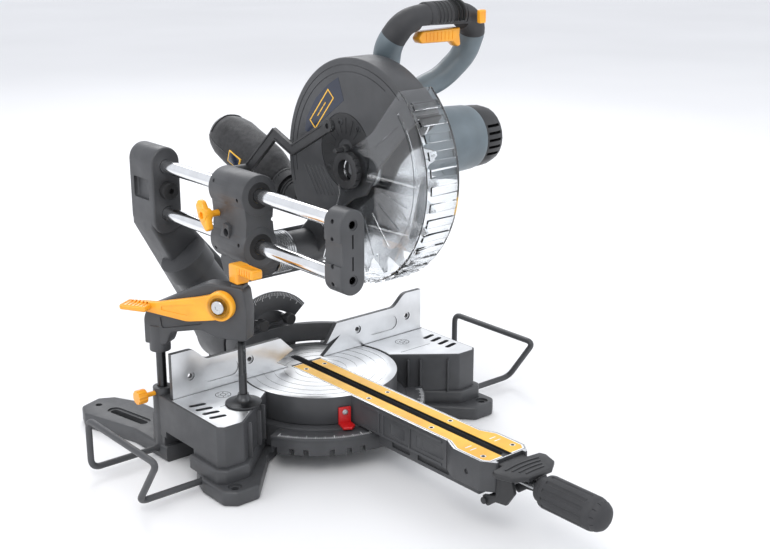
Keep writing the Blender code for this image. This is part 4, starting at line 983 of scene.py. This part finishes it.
def motor():
    """Motor housing and its vented cap."""
    profile = [(0, 58.3), (44, 58.3), (44.4, 60), (44.5, 62), (44.1, 106), (43.2, 107), (43.2, 108.6),
               (44.0, 109.6), (43.5, 150), (41.5, 190), (40.6, 195), (40, 196), (0, 196)]
    shell = lathe("x", MOTOR, profile, 128)
    cuts = [rod("x", MOTOR, 37.5, 50, 205, 96)]
    for side in (-1, 1):
        for i in range(5):
            angle = 180 + side * 30 + (i - 2) * 9
            y, z = around(angle, 43.5, MOTOR)
            vent = moved(box(158, 182, -1.5, 1.5, -9, 9, 0.0),
                         Matrix.Translation((0, y, z)) @ Matrix.Rotation(radians(90 - angle) * -1, 4, "X"))
            cuts.append(vent)
    seam = lathe("x", MOTOR, [(43.5, 70.2), (50, 70.2), (50, 71.2), (43.5, 71.2)], 96, True)
    cuts.append(seam)
    add("motor_housing", "head", "slate", [shell], cuts, 0.4)
    profile = [(0, 196.3), (40, 196.3), (40.2, 199), (39.5, 214), (36, 226), (28, 233), (12, 236), (0, 236)]
    cap = lathe("x", MOTOR, profile, 24)
    cuts = [lathe("x", MOTOR, [(0, 190), (35, 190), (34, 214), (28, 226), (0, 226)], 64)]
    for i in range(5):
        cuts.append(box(199, 222, MOTOR[0] - 50, MOTOR[0] + 50, MOTOR[1] - 20 + 9 * i,
                        MOTOR[1] - 16.5 + 9 * i))
    add("motor_cap", "head", "plastic", [cap], cuts, 0.5)
    head_disc = lathe("x", MOTOR, [(0, 234.4), (9, 234.4), (9, 235.1), (8.4, 235.8), (0, 235.8)], 40)
    driver_slot = box(234.7, 238.8, MOTOR[0] - 6, MOTOR[0] + 6, MOTOR[1] - 0.8, MOTOR[1] + 0.8)
    extra("cap_screw", "head", "steel", [head_disc], [driver_slot])


HANDLE = [(54, -66, 344), (50, -70, 384), (38, -92, 424), (48, -108, 450), (74, -112, 455), (140, -112, 453),
          (162, -105, 436), (160, -92, 402), (134, -80, 374), (104, -72, 362), (84, -68, 344)]


def handle():
    """D-handle with its dark overmould and grip cover."""
    path = rounded(HANDLE, 14, 6)
    shell = sweep(path, oval(14.9, 16.9, 28), up=(0.05, -0.5, 0.2))
    foot = box(42, 104, -92, -44, 335.5, 352, 4.0, 3)
    saddle = [rod("x", MOTOR, MOTOR_R + 0.9, 58, 200, 96), rod("x", MOTOR, MOTOR_R + 3.4, 40, 58.4, 96)]
    cuts = saddle + [box(62, 136, -124, -96, 429, 446), box(74, 132, -140, -80, 446, 476)]
    frame_obj = add("handle_frame", "head", "slate", [shell, foot], cuts, 0.6)
    body = prism("x", ring(40, 16.5, (-112, 455)), 74.3, 131.7, 1.8, 3)
    grooves = []
    for i in range(9):
        x = 80 + 5.8 * i
        profile = [(15.9, x - 0.7), (18, x - 1.2), (18, x + 1.2), (15.9, x + 0.7)]
        grooves.append(lathe("x", (-112, 455), profile, 56, True))
    add("handle_grip", "head", "grip", [body], [box(70, 136, -140, -80, 430, 446.3), *grooves], 0.3)
    frame_obj.data.materials.append(FINISHES["grip"])
    links = [((a + b) / 2, (b - a).normalized()) for a, b in zip(path, path[1:])]
    reach = [i for i, (middle, _) in enumerate(links) if middle.z > 432 and middle.x > 38]
    for face in frame_obj.data.polygons:
        centre = (face.center - ORIGIN) / MM
        near = [(abs((centre - middle).dot(run)), i) for i, (middle, run) in enumerate(links)
                if (centre - middle).length < 24]
        if near and min(near)[1] in reach:
            face.material_index = 1


def dust_outlet():
    """Dust port and the notched collar of the bag."""
    run, start = OUTLET_WAY, OUTLET
    port = between(start, start + run * 44, 17, 16, 72)
    bands = [between(start + run * s, start + run * (s + 2.2), 17.6, 17.6, 72) for s in (22, 27)]
    bore = between(start - run * 3, start + run * 50, 14.5, 13.5, 64)
    add("dust_port", "head", "plastic", [port, *bands], [bore], 0.3)
    collar = between(start + run * 32, start + run * 46, 20.6, 21.6, 72)
    lip = between(start + run * 43.4, start + run * 46, 22, 22, 72)
    lean = Matrix.Translation(start) @ Vector((0, 0, 1)).rotation_difference(run).to_matrix().to_4x4()
    notches = [moved(box(-0.8, 0.8, 20.9, 24, 33, 42), lean @ Matrix.Rotation(2 * pi * i / 24, 4, "Z"))
               for i in range(24)]
    bore = between(start + run * 20, start + run * 60, 17.6, 17.6, 64)
    add("bag_collar", "head", "plastic", [collar, lip], [bore, *notches], 0.2)


def swell(obj, mouth, most):
    """Blows the bag up as cloth, holds its mouth, and lets no point move further than the most given."""
    scene = bpy.context.scene
    remesh = obj.modifiers.new("Even", "REMESH")
    remesh.mode = "VOXEL"
    remesh.voxel_size = 0.004
    obj.data = bpy.data.meshes.new_from_object(obj.evaluated_get(bpy.context.evaluated_depsgraph_get()))
    obj.modifiers.clear()
    held = obj.vertex_groups.new(name="mouth")
    held.add([v.index for v in obj.data.vertices if (v.co - mouth).length < 0.026], 1.0, "REPLACE")
    start = [v.co.copy() for v in obj.data.vertices]
    cloth = obj.modifiers.new("Cloth", "CLOTH")
    cloth.settings.quality = 6
    cloth.settings.use_pressure = True
    cloth.settings.uniform_pressure_force = shape().bag_pressure
    cloth.settings.effector_weights.gravity = 0.0
    cloth.settings.vertex_group_mass = "mouth"
    cloth.settings.tension_stiffness = 20
    cloth.settings.bending_stiffness = 0.8
    for number in range(1, 21):
        scene.frame_set(number)
    blown = bpy.data.meshes.new_from_object(obj.evaluated_get(bpy.context.evaluated_depsgraph_get()))
    obj.modifiers.clear()
    scene.frame_set(1)
    for before, vertex in zip(start, blown.vertices):
        shift = vertex.co - before
        if shift.length > most:
            vertex.co = before + shift * (most / shift.length)
    obj.data = blown
    obj.vertex_groups.clear()
    return obj


def dust_bag():
    """Soft bag: a lofted shell that is blown up and hangs a little, with a seam, a zip and a blank tag."""
    run = OUTLET_WAY
    base = OUTLET + run * BAG_FROM
    side = Vector((1, 0, 0))
    up = side.cross(run).normalized()
    stations = [(0, 17.6), (2, 20.6), (6, 21), (12, 24), (22, 29.5), (36, 33.4), (54, 34.6), (74, 35.0),
                (94, 35.0),
                (112, 34.6), (126, 33.2), (138, 29.5), (147, 23), (153, 14), (156, 5)]
    count = 96
    bm = bmesh.new()
    rows = []
    for s, r in stations:
        fold = min(1.0, s / 30) * min(1.0, max(0.0, (158 - s) / 24))
        row = []
        for i in range(count):
            a = 2 * pi * i / count
            crease = 0.5 * sin(5 * a + 0.03 * s) + 0.42 * sin(9 * a - 0.06 * s) + 0.34 * sin(0.16 * s + 3 * a)
            sag = 0.9 * (1 - cos(a - pi / 2)) if s > 20 else 0.0
            radius = r - fold * (2.4 - crease * 1.1) - fold * 0.3 * sag
            row.append(bm.verts.new(base + run * s + side * radius * cos(a) + up * radius * sin(a)))
        rows.append(row)
    edge_rows = [[bm.edges.new((row[i - 1], row[i])) for i in range(count)] for row in rows]
    for low, high in zip(edge_rows, edge_rows[1:]):
        bmesh.ops.bridge_loops(bm, edges=low + high)
    tip = bm.verts.new(base + run * 157)
    for i in range(count):
        bm.faces.new((rows[-1][i - 1], rows[-1][i], tip))
    mouth = [bm.verts.new(base + run * 3 + (v.co - base) * 0.86) for v in rows[0]]
    inner = [bm.edges.new((mouth[i - 1], mouth[i])) for i in range(count)]
    bmesh.ops.bridge_loops(bm, edges=edge_rows[0] + inner)
    bm.faces.new(mouth)
    obj = swell(moved(temp(bm), WORLD), WORLD @ base, 0.0022)
    moved(obj, WORLD.inverted())
    add("dust_bag", "head", "fabric", [obj], [], 0.0, sharp=80)
    smooth = obj.modifiers.new("Soft cloth", "SUBSURF")
    smooth.levels = 1
    smooth.render_levels = 1
    surface = BVHTree.FromObject(obj, bpy.context.evaluated_depsgraph_get())

    def skin(s, angle, lift=0.0):
        """Point on the bag's skin, reached outwards from its middle."""
        way = side * cos(angle) + up * sin(angle)
        start = WORLD @ (base + run * s)
        hit = surface.ray_cast(start, way)[0]
        return WORLD.inverted() @ hit + way * lift

    seams = []
    for angle in (0.0, pi):
        points = [skin(s, angle, -0.3) for s in range(12, 148, 8)]
        seams.append(sweep(flowing(points, 4), oval(1.0, 1.5, 12), up=(0, 0.3, 1)))
    extra("bag_seams", "head", "fabric", seams, edge=0.0, sharp=60)
    zip_line = [skin(136, pi * (0.08 + 0.84 * i / 16), 0.2) for i in range(17)]
    extra("bag_zip", "head", "plastic", [sweep(zip_line, oval(1.6, 0.9, 12, 3), up=tuple(run))], edge=0.0,
          sharp=60)
    reach = (skin(70, pi) - base - run * 70).length
    middle = base + run * 70 - side * reach
    for name, finish, grow, lift in (("bag_tag_frame", "plate", 1.0, 1.6), ("bag_tag", "label", 0.86, 1.35)):
        half_run, half_up = run * 13.5 * grow, up * 8.0 * grow
        bm = bmesh.new()
        corners = [middle + half_run * a + half_up * b for a, b in ((-1, -1), (1, -1), (1, 1), (-1, 1))]
        face = bm.faces.new([bm.verts.new(corner + side * lift) for corner in corners])
        geom = bmesh.ops.extrude_face_region(bm, geom=[face])["geom"]
        bmesh.ops.translate(bm, vec=side * -2.4, verts=[v for v in geom if isinstance(v, bmesh.types.BMVert)])
        bmesh.ops.recalc_face_normals(bm, faces=bm.faces)
        soften(bm, 0.35, 2)
        extra(name, "head", finish, [temp(bm)])


def controls():
    """Trigger and lock-off button."""
    outline = [(64, 430), (68, 424), (118, 423), (126, 416), (131, 418), (129, 430), (130, 439), (70, 438)]
    trigger = prism("y", outline, -117, -103, 2.0, 3)
    grooves = [box(74 + 6 * i, 75.2 + 6 * i, -117.6, -116.5, 426, 436) for i in range(8)]
    add("trigger", "trigger", "yellow", [trigger], grooves, 0.0)
    button = box(142, 152, -138, -131.2, 444, 460, 1.8, 3)
    grooves = [box(143.5, 150.5, -139, -137.6, 447 + 3 * i, 448.2 + 3 * i) for i in range(4)]
    add("lock_off_button", "lock_off", "yellow", [button], grooves, 0.0)


# --------------------------------------------------------------------------- blade, gears and guards

def blade():
    """Toothed disc with its slits and carbide tips."""
    teeth = shape().teeth
    pitch = 360 / teeth
    points = []
    for i in range(teeth):
        a = pitch * i
        points += [around(a, BLADE_R), around(a + pitch * 0.12, BLADE_R - 1.0),
                   around(a + pitch * 0.2, BLADE_R - 3.4), around(a + pitch * 0.3, BLADE_R - 11),
                   around(a + pitch * 0.42, BLADE_R - 15), around(a + pitch * 0.56, BLADE_R - 15.4),
                   around(a + pitch * 0.7, BLADE_R - 12)]
    disc = prism("x", points, -1.15, 1.15)
    cuts = [rod("x", BLADE, SHAFT_BORE, -5, 5, 48)]
    for i in range(4):
        a = 90 * i + 12
        y, z = around(a, BLADE_R - 20)
        cuts.append(rod("x", (y, z), 2.2, -5, 5, 24))
        slit = prism("x", [around(a - 0.35, BLADE_R + 2), around(a + 0.35, BLADE_R + 2),
                           around(a + 3.3, BLADE_R - 21), around(a + 2.7, BLADE_R - 21)], -5, 5)
        cuts.append(slit)
    add("blade", "arbor", "blade", [disc], cuts, 0.0)
    bm = bmesh.new()
    for i in range(teeth):
        a = pitch * i
        tip = prism("x", [around(a - 0.1, BLADE_R - 0.2), around(a - 0.5, BLADE_R - 5),
                          around(a + 0.9, BLADE_R - 5), around(a + 1.0, BLADE_R - 0.4)], -1.3, 1.3)
        bm.from_mesh(tip.data)
        bpy.data.objects.remove(tip, do_unlink=True)
    extra("blade_tips", "arbor", "steel", [temp(bm)])


def arbor():
    """Blade, flanges and the arbor shaft with its bolt."""
    blade()
    for name, low, high in (("outer_flange", -8.5, -1.6), ("inner_flange", 1.6, 9.5)):
        disc = rod("x", BLADE, 24, low, high, 96, 0.8)
        cuts = [rod("x", BLADE, SHAFT_BORE, -15, 15, 48)]
        if low < 0:
            cuts.append(lathe("x", BLADE, [(17.5, -10), (19, -10), (19, -8), (17.5, -8)], 72, True))
        add(name, "arbor", "steel", [disc], cuts, 0.2)
    shaft = lathe("x", BLADE, [(0, -14), (8, -14), (8, 24.9), (6, 24.9), (6, 42.6), (5.4, 43), (0, 43)], 64)
    head_bolt = rod("x", BLADE, 10.5, -20, -8.9, 6, 0.6)
    washer = rod("x", BLADE, 11.8, -11.4, -8.8, 64, 0.4)
    bore = rod("x", BLADE, 4.0, -22, -17, 6)
    add("arbor_shaft", "arbor", "steel", [shaft, head_bolt, washer], [bore], 0.0)


GUARD_FROM, GUARD_TO = -115.0, 50.0
LOWER_HALF = 24.5


def lower_guard():
    """Clear swinging guard: a moulded rim with raised blocks, a near wall with radial ribs, and the hub."""
    low, high = GUARD_FROM, GUARD_TO
    outline = arc(low, high, LOWER_R, 96) + [around(52, 60), around(80, 28), around(150, 27), around(200, 27),
                                             around(235, 40)]
    body = prism("x", outline, -LOWER_HALF, LOWER_HALF, 1.2, 3)
    inner = prism("x", arc(low - 8, high + 12, LOWER_R - 2.5, 96) + [around(100, 60), around(170, 60),
                                                                     around(225, 60)], -22.0, 22.0)
    right = prism("x", arc(0, 360, 46, 64)[:-1], 10, 40)
    side = prism("x", [around(64, 20), around(64, 150), around(120, 150), around(190, 150), around(236, 150),
                       around(236, 20)], 10, 40)
    cuts = [inner, right, side, rod("x", BLADE, 12.5, -40, -10, 56)]
    cuts.append(prism("x", arc(low + 6, high - 8, 116, 72) + arc(low + 6, high - 8, 112, 72)[::-1], -26,
                      -23.8))
    for i in range(9):
        a = -100 + 17 * i
        groove = prism("x", [around(a - 1.1, 60), around(a - 0.5, 104), around(a + 0.5, 104),
                             around(a + 1.1, 60)],
                       -26, -23.9)
        cuts.append(groove)
    blocks = []
    count = shape().guard_ribs
    step = (high - low - 8) / count
    for i in range(count):
        a = low + 4 + i * step
        rim = arc(a, a + step * 0.52, LOWER_R - 1.2, 4) + arc(a, a + step * 0.52, LOWER_R + 2.6, 4)[::-1]
        blocks.append(prism("x", rim, -19.5, 19.5, 0.7, 2))
    add("lower_guard", "lower_guard", "clear", [body, *blocks], cuts, 0.0)
    disc = rod("x", BLADE, 22, -33, -24.8, 96, 1.0)
    crank = rod("x", around(100, 24), 6, -33, -24.8, 40, 0.6)
    pin = rod("x", around(100, 24), 3, -44, -26, 28, 0.4)
    cuts = [rod("x", BLADE, 13, -50, -10, 56)]
    for i in range(16):
        if 3 < i < 6:
            continue
        cuts.append(rod("x", around(22.5 * i, 23), 1.8, -36, -27, 16))
    add("guard_hub", "lower_guard", "plastic", [disc, crank, pin], cuts, 0.0)


def link_outline(path, side):
    """Outline (y, z) of a bar that follows a bent path."""
    top, bottom = [], []
    points = [Vector(p) for p in path]
    for i, here in enumerate(points):
        ahead = points[min(i + 1, 3)]
        behind = points[max(i - 1, 0)]
        a = (here - behind).normalized() if i else (ahead - here).normalized()
        b = (ahead - here).normalized() if i < 3 else a
        normal = Vector((-(a + b).y, (a + b).x)).normalized()
        reach = side / max(0.5, normal.dot(Vector((-a.y, a.x))))
        top.append(here + normal * reach)
        bottom.append(here - normal * reach)
    return [tuple(p) for p in top + bottom[::-1]]


def guard_link():
    """Bent link between the carriage and the clear guard."""
    path = [(78, 258), (16, 313), (-20, 299), (-92, 338)]
    bar = prism("x", link_outline(path, 6.5), -54, -48, 0.7, 2)
    end = rod("x", (78, 258), 8, -76.8, -47.7, 48, 0.6)
    tip = rod("x", (-92, 338), 7.5, -54.3, -47.7, 48, 0.5)
    short = [(72, 263.1), (16, 313), (-20, 299), (-84, 333.6)]
    recess = prism("x", link_outline(short, 4.2), -56, -53.1)
    cuts = [rod("x", (78, 258), 3.3, -90, -40, 32), recess, rod("x", (-92, 338), 3.2, -60, -52, 32)]
    add("guard_link", "guard_link", "plastic", [bar, end, tip], cuts, 0.0)
    stem = rod("x", (78, 258), 3, -88, -46, 32)
    head_disc = rod("x", (78, 258), 5.5, -47.6, -44.4, 40, 0.6)
    add("link_pivot_screw", "carriage", "steel", [stem, head_disc], [rod("x", (78, 258), 2.4, -46, -43, 6)],
        0.0)


# --------------------------------------------------------------------------- clamp and wire extensions

def in_clamp(obj):
    """Places a piece modelled along the clamp's own arm: x runs from the post to the spindle."""
    heading = atan2(SPINDLE[1] - POST[1], SPINDLE[0] - POST[0])
    return moved(obj, Matrix.Translation((POST[0], POST[1], 0)) @ Matrix.Rotation(heading, 4, "Z"))


CAM_AT = (94.0, 128.0)


def clamp():
    """Post, body, screw and tee handle of the work clamp."""
    post = lathe("z", POST, [(0, -60), (5.4, -60), (6, -59.4), (6, 91.4), (5.4, 92), (0, 92)], 56)
    add("clamp_post", "clamp", "dark_steel", [post], [], 0.0)
    outline = [(-15, 66), (15, 66), (22, 84), (62, 92), (84, 84), (REACH + 12, 84), (REACH + 14, 120),
               (REACH + 10, 150), (72, 152), (34, 134), (-8, 114), (-15, 100)]
    outline = [(p.x, p.z) for p in rounded([(x, 0, z) for x, z in outline + outline[:1]], 6, 4)][:-1]
    block = prism("y", outline, -11, 11, 2.4, 3)
    sleeve = rod("z", (0, 0), 13, 56, 90, 72, 1.0)
    guide = box(REACH - 8, REACH + 8, -8, 8, 140, 153.5, 1.4, 3)
    cuts = [rod("z", (0, 0), 6.4, 40, 94, 48), rod("z", (REACH, 0), 5.5, 60, 170, 48)]
    cuts.append(rod("y", CAM_AT, 5.4, -30, 30, 48))
    web = [(8, 102), (40, 112), (66, 122), (66, 100), (30, 92), (10, 88)]
    web = [(p.x, p.z) for p in rounded([(x, 0, z) for x, z in web + web[:1]], 4, 4)][:-1]
    for y0, y1 in ((-12, -9.4), (9.4, 12)):
        cuts.append(prism("y", web, y0, y1))
    for part in [block, sleeve, guide, *cuts]:
        in_clamp(part)
    add("clamp_body", "clamp", "casting", [block, sleeve, guide], cuts, 0.4)
    profile = [(0, 4), (4.4, 4), (5, 4.6), (5, 40)]
    z = 40.0
    while z < 82:
        profile += [(4.4, z + 0.7), (5, z + 1.4)]
        z += 1.4
    profile += [(5, 168), (0, 168)]
    spindle = lathe("z", SPINDLE, profile, 40)
    profile = [(0, 0.5), (21, 0.5), (22.5, 1.4), (22, 3), (16, 4.4), (11, 6), (8, 9), (6.5, 14), (0, 14)]
    foot = lathe("z", SPINDLE, profile, 72)
    add("clamp_spindle", "clamp_screw", "dark_steel", [spindle, foot], [], 0.0)
    x, y = SPINDLE
    hub = box(x - 9, x + 9, y - 9, y + 9, 154.5, 177.5, 2.0, 3)
    bar = box(x - 8, x + 8, y - 38, y - 4, 166, 177.5, 2.5, 3)
    cuts = [rod("z", SPINDLE, 5.4, 150, 168.4, 48)]
    cuts += [box(x - 9, x - 7.3, y - 34 + 5 * i, y - 32.4 + 5 * i, 168, 176) for i in range(5)]
    cuts += [box(x - 5, x + 5, y - 34, y - 12, 176.9, 179)]
    add("clamp_tee_handle", "clamp_screw", "yellow", [hub, bar], cuts, 0.0)


def clamp_lever():
    """Cam lever, its pin and the knob that holds the post."""
    s, z = CAM_AT
    hub = lathe("y", CAM_AT, [(0, -21), (16.6, -21), (17.6, -20.4), (18, -19.6), (18, -12.4), (17.4, -12),
                              (0, -12)],
                96)
    profile = [(s + 4, z + 17.6), (s - 30, z + 8), (s - 84, z - 4), (s - 122, z - 6), (s - 124, z - 15),
               (s - 86, z - 19), (s - 44, z - 24), (s - 4, z - 17.6)]
    profile = [(p.x, p.z) for p in rounded([(a, 0, b) for a, b in profile + profile[:1]], 5, 4)][:-1]
    lever = prism("y", profile, -20, -13, 1.4, 3)
    pad = box(s - 128, s - 92, -34, -10, z - 14, z - 7, 2.5, 3)
    cuts = [rod("y", CAM_AT, 6.2, -30, 30, 56)]
    cuts.append(lathe("y", CAM_AT, [(9.5, -22), (13.5, -22), (13.5, -20.1), (9.5, -20.1)], 72, True))
    cuts += [box(s - 124 + 5.2 * i, s - 121.6 + 5.2 * i, -32, -12, z - 7.5, z - 5) for i in range(6)]
    window = [(s - 34, z - 1), (s - 78, z - 8), (s - 78, z - 13), (s - 42, z - 16)]
    window = [(p.x, p.z) for p in rounded([(a, 0, b) for a, b in window + window[:1]], 3, 4)][:-1]
    cuts.append(prism("y", window, -22, -19.2))
    for part in [hub, lever, pad, *cuts]:
        in_clamp(part)
    add("clamp_cam_lever", "clamp_cam", "yellow", [hub, lever, pad], cuts, 0.0)
    pin = [rod("y", CAM_AT, 5, -23, 15, 48), lathe("y", CAM_AT, [(0, -25), (7.2, -25), (8, -24.4), (8, -21.5),
                                                                 (0, -21.5)], 56)]
    drive = rod("y", CAM_AT, 3.4, -27, -24, 6)
    for part in [*pin, drive]:
        in_clamp(part)
    add("clamp_cam_pin", "clamp", "steel", pin, [drive], 0.0)
    stem = rod("x", (POST[1], 1), 3, -226, -203.6, 32)
    knob = rod("x", (POST[1], 1), 9, -234, -222, 64, 1.0)
    flutes = [rod("x", (POST[1] + 9.8 * cos(pi * k / 5), 1 + 9.8 * sin(pi * k / 5)), 2.0, -236, -223, 16)
              for k in range(10)]
    add("post_knob", "post_knob", "yellow", [stem, knob], flutes, 0.0)


def extension(side):
    """One bent wire: 1 is right, -1 is left."""
    rear, front, out = POST[1], -50.0, 300.0
    path = [(150, rear, WIRE_Z), (out, rear, WIRE_Z), (out, rear, -9), (out, -96, -9), (out, -50, WIRE_Z),
            (150, front, WIRE_Z)]
    path = [(x * side, y, z) for x, y, z in path]
    path = rounded(path, 13, 10)
    wire = sweep(path, oval(4.0, 4.0, 28), up=(0.2 * side, 1.0, 0.3))
    name, body = (("extension_wire_right", "right_extension"),
                  ("extension_wire_left", "left_extension"))[side < 0]
    add(name, body, "casting", [wire], [], 0.0, sharp=60)


def hidden_parts():
    """Nodes that sit inside others or are plain turned stock keep the frame's own shape."""
    for node, finish in (("table_pivot_bolt", "steel"), ("bevel_pivot_bolt", "steel"),
                         ("bushing_upper", "bronze"),
                         ("bushing_lower", "bronze"), ("chop_pivot_shaft", "steel"),
                         ("spindle_gear", "steel"),
                         ("armature", "copper"), ("pinion_gear", "steel")):
        keep(node, finish)


# --------------------------------------------------------------------------- stage

VIEW_AZ, VIEW_EL = radians(-40.1392), radians(17.1993)
EYE = Vector((-0.9257, -1.2285, 0.6033))


def stage():
    """Floor, soft lights and the camera."""
    scene = bpy.context.scene
    bm = bmesh.new()
    bmesh.ops.create_grid(bm, x_segments=8, y_segments=8, size=40.0)
    mesh = bpy.data.meshes.new("floor")
    bm.to_mesh(mesh)
    bm.free()
    floor = bpy.data.objects.new("floor", mesh)
    mesh.materials.append(FINISHES["floor"])
    scene.collection.objects.link(floor)
    world = bpy.data.worlds.new("Studio")
    world.use_nodes = True
    tree = world.node_tree
    back = tree.nodes["Background"]
    back.inputs["Color"].default_value = (0.93, 0.95, 1.0, 1)
    back.inputs["Strength"].default_value = 0.95
    seen = tree.nodes.new("ShaderNodeBackground")
    seen.inputs["Color"].default_value = (1, 1, 1, 1)
    seen.inputs["Strength"].default_value = 1.0
    path = tree.nodes.new("ShaderNodeLightPath")
    mix = tree.nodes.new("ShaderNodeMixShader")
    tree.links.new(path.outputs["Is Camera Ray"], mix.inputs["Fac"])
    tree.links.new(back.outputs["Background"], mix.inputs[1])
    tree.links.new(seen.outputs["Background"], mix.inputs[2])
    tree.links.new(mix.outputs["Shader"], tree.nodes["World Output"].inputs["Surface"])
    scene.world = world
    centre = ORIGIN + Vector((0, -0.05, 0.16))
    for name, place, size, power, tint in (
            ("key", (-1.3, -1.5, 2.3), 1.3, 24, (1.0, 0.985, 0.96)),
            ("fill", (1.9, -1.6, 1.2), 1.9, 9, (0.96, 0.98, 1.0)),
            ("rim", (0.9, 1.9, 1.7), 1.4, 20, (1.0, 1.0, 1.0)),
            ("side", (-2.1, 0.5, 0.9), 1.2, 9, (1.0, 1.0, 1.0)),
            ("top", (0.0, 0.0, 2.3), 1.8, 6, (1.0, 1.0, 1.0))):
        lamp = bpy.data.lights.new(name, "AREA")
        lamp.size = size
        lamp.energy = power
        lamp.color = tint
        obj = bpy.data.objects.new(name, lamp)
        obj.location = centre + Vector(place)
        obj.rotation_euler = (-Vector(place)).to_track_quat("-Z", "Y").to_euler()
        scene.collection.objects.link(obj)
    camera_data = bpy.data.cameras.new("camera")
    camera_data.sensor_width = 36.0
    camera_data.lens = 59.1
    camera_data.clip_start = 0.01
    camera = bpy.data.objects.new("camera", camera_data)
    back_way = Vector((sin(VIEW_AZ) * cos(VIEW_EL), -cos(VIEW_AZ) * cos(VIEW_EL), sin(VIEW_EL)))
    camera.location = ORIGIN + EYE
    camera.rotation_euler = (-back_way).to_track_quat("-Z", "Y").to_euler()
    scene.collection.objects.link(camera)
    scene.camera = camera
    scene.view_settings.view_transform = "Standard"
    scene.view_settings.look = "None"


# --------------------------------------------------------------------------- operators and panel

def made(*names):
    """Stops the build when a step has left out one of its pieces."""
    missing = [name for name in names if name + "_finished" not in bpy.data.objects]
    if missing:
        raise RuntimeError("pieces not made: " + ", ".join(missing))
    return {"FINISHED"}


class MITERSAW_OT_finishes(bpy.types.Operator):
    """Make the saw's materials"""
    bl_idname = "miter_saw.finishes"
    bl_label = "Finishes"

    def execute(self, context):
        make_finishes()
        return {"FINISHED"}


class MITERSAW_OT_base(bpy.types.Operator):
    """Build the base casting, its machined lands, the fence and the miter scale"""
    bl_idname = "miter_saw.base"
    bl_label = "Base and fence"

    def execute(self, context):
        base_casting()
        wing_plates()
        fence_parts()
        scale_plate()
        return made("base_casting", "fence_left", "fence_right", "fence_bridge", "miter_scale_plate")


class MITERSAW_OT_table(bpy.types.Operator):
    """Build the turntable, its inserts, pointer, bevel scale and front handle"""
    bl_idname = "miter_saw.table"
    bl_label = "Turntable"

    def execute(self, context):
        turntable()
        table_parts()
        miter_handle()
        return made("turntable", "kerf_plate_left", "kerf_plate_right",
                    "miter_pointer", "miter_lock_grip", "detent_lever")


class MITERSAW_OT_slide(bpy.types.Operator):
    """Build the bevel arm, the rails and the sliding carriage"""
    bl_idname = "miter_saw.slide"
    bl_label = "Arm and slide"

    def execute(self, context):
        bevel_arm()
        carriage()
        return made("bevel_arm", "rail_upper", "rail_lower", "rail_front_block", "carriage",
                    "slide_lock_knob")


class MITERSAW_OT_head(bpy.types.Operator):
    """Build the upper guard, gear case, motor, handle and its controls"""
    bl_idname = "miter_saw.head"
    bl_label = "Head"

    def execute(self, context):
        upper_guard()
        guard_trim()
        gear_case()
        motor()
        handle()
        controls()
        return made("upper_guard", "gear_case", "motor_housing", "motor_cap", "handle_frame", "trigger")


class MITERSAW_OT_dust(bpy.types.Operator):
    """Build the dust outlet, its collar and the soft bag"""
    bl_idname = "miter_saw.dust"
    bl_label = "Dust bag"

    def execute(self, context):
        dust_outlet()
        dust_bag()
        return made("dust_port", "bag_collar", "dust_bag")


class MITERSAW_OT_cutting(bpy.types.Operator):
    """Build the blade, its flanges, the clear guard and the guard's link"""
    bl_idname = "miter_saw.cutting"
    bl_label = "Blade and guard"

    def execute(self, context):
        arbor()
        lower_guard()
        guard_link()
        return made("blade", "arbor_shaft", "lower_guard", "guard_hub", "guard_link")


class MITERSAW_OT_clamp(bpy.types.Operator):
    """Build the work clamp with its cam lever and screw"""
    bl_idname = "miter_saw.clamp"
    bl_label = "Work clamp"

    def execute(self, context):
        clamp()
        clamp_lever()
        return made("clamp_post", "clamp_body", "clamp_spindle",
                    "clamp_tee_handle", "clamp_cam_lever", "post_knob")


class MITERSAW_OT_extensions(bpy.types.Operator):
    """Build the two wire extensions and finish the nodes that stay as they are"""
    bl_idname = "miter_saw.extensions"
    bl_label = "Wire extensions"

    def execute(self, context):
        extension(1)
        extension(-1)
        hidden_parts()
        return made("extension_wire_left", "extension_wire_right")


class MITERSAW_OT_stage(bpy.types.Operator):
    """Lay the floor and set the lights and the camera"""
    bl_idname = "miter_saw.stage"
    bl_label = "Stage"

    def execute(self, context):
        stage()
        return {"FINISHED"}


OPERATORS = (MITERSAW_OT_finishes, MITERSAW_OT_base, MITERSAW_OT_table, MITERSAW_OT_slide, MITERSAW_OT_head,
             MITERSAW_OT_dust, MITERSAW_OT_cutting, MITERSAW_OT_clamp, MITERSAW_OT_extensions,
             MITERSAW_OT_stage)


class MITERSAW_PT_sidebar(bpy.types.Panel):
    """Sidebar panel that lists the build steps and their settings"""
    bl_idname = "MITERSAW_PT_sidebar"
    bl_label = "Miter Saw"
    bl_space_type = "VIEW_3D"
    bl_region_type = "UI"
    bl_category = "Miter Saw"

    def draw(self, context):
        for group in (context.scene.miter_saw_paint, context.scene.miter_saw_shape):
            column = self.layout.column(align=True)
            for name in group.__annotations__:
                column.prop(group, name)
        column = self.layout.column(align=True)
        for operator in OPERATORS:
            column.operator(operator.bl_idname)


CLASSES = (MiterSawPaint, MiterSawShape, *OPERATORS, MITERSAW_PT_sidebar)


def register():
    """Registers the classes and the settings."""
    for cls in CLASSES:
        bpy.utils.register_class(cls)
    bpy.types.Scene.miter_saw_paint = bpy.props.PointerProperty(type=MiterSawPaint)
    bpy.types.Scene.miter_saw_shape = bpy.props.PointerProperty(type=MiterSawShape)


def unregister():
    """Takes them away again."""
    del bpy.types.Scene.miter_saw_shape
    del bpy.types.Scene.miter_saw_paint
    for cls in reversed(CLASSES):
        bpy.utils.unregister_class(cls)


def main():
    """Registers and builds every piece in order."""
    register()
    for operator in OPERATORS:
        group, name = operator.bl_idname.split(".")
        getattr(getattr(bpy.ops, group), name)()


if __name__ == "__main__":
    main()
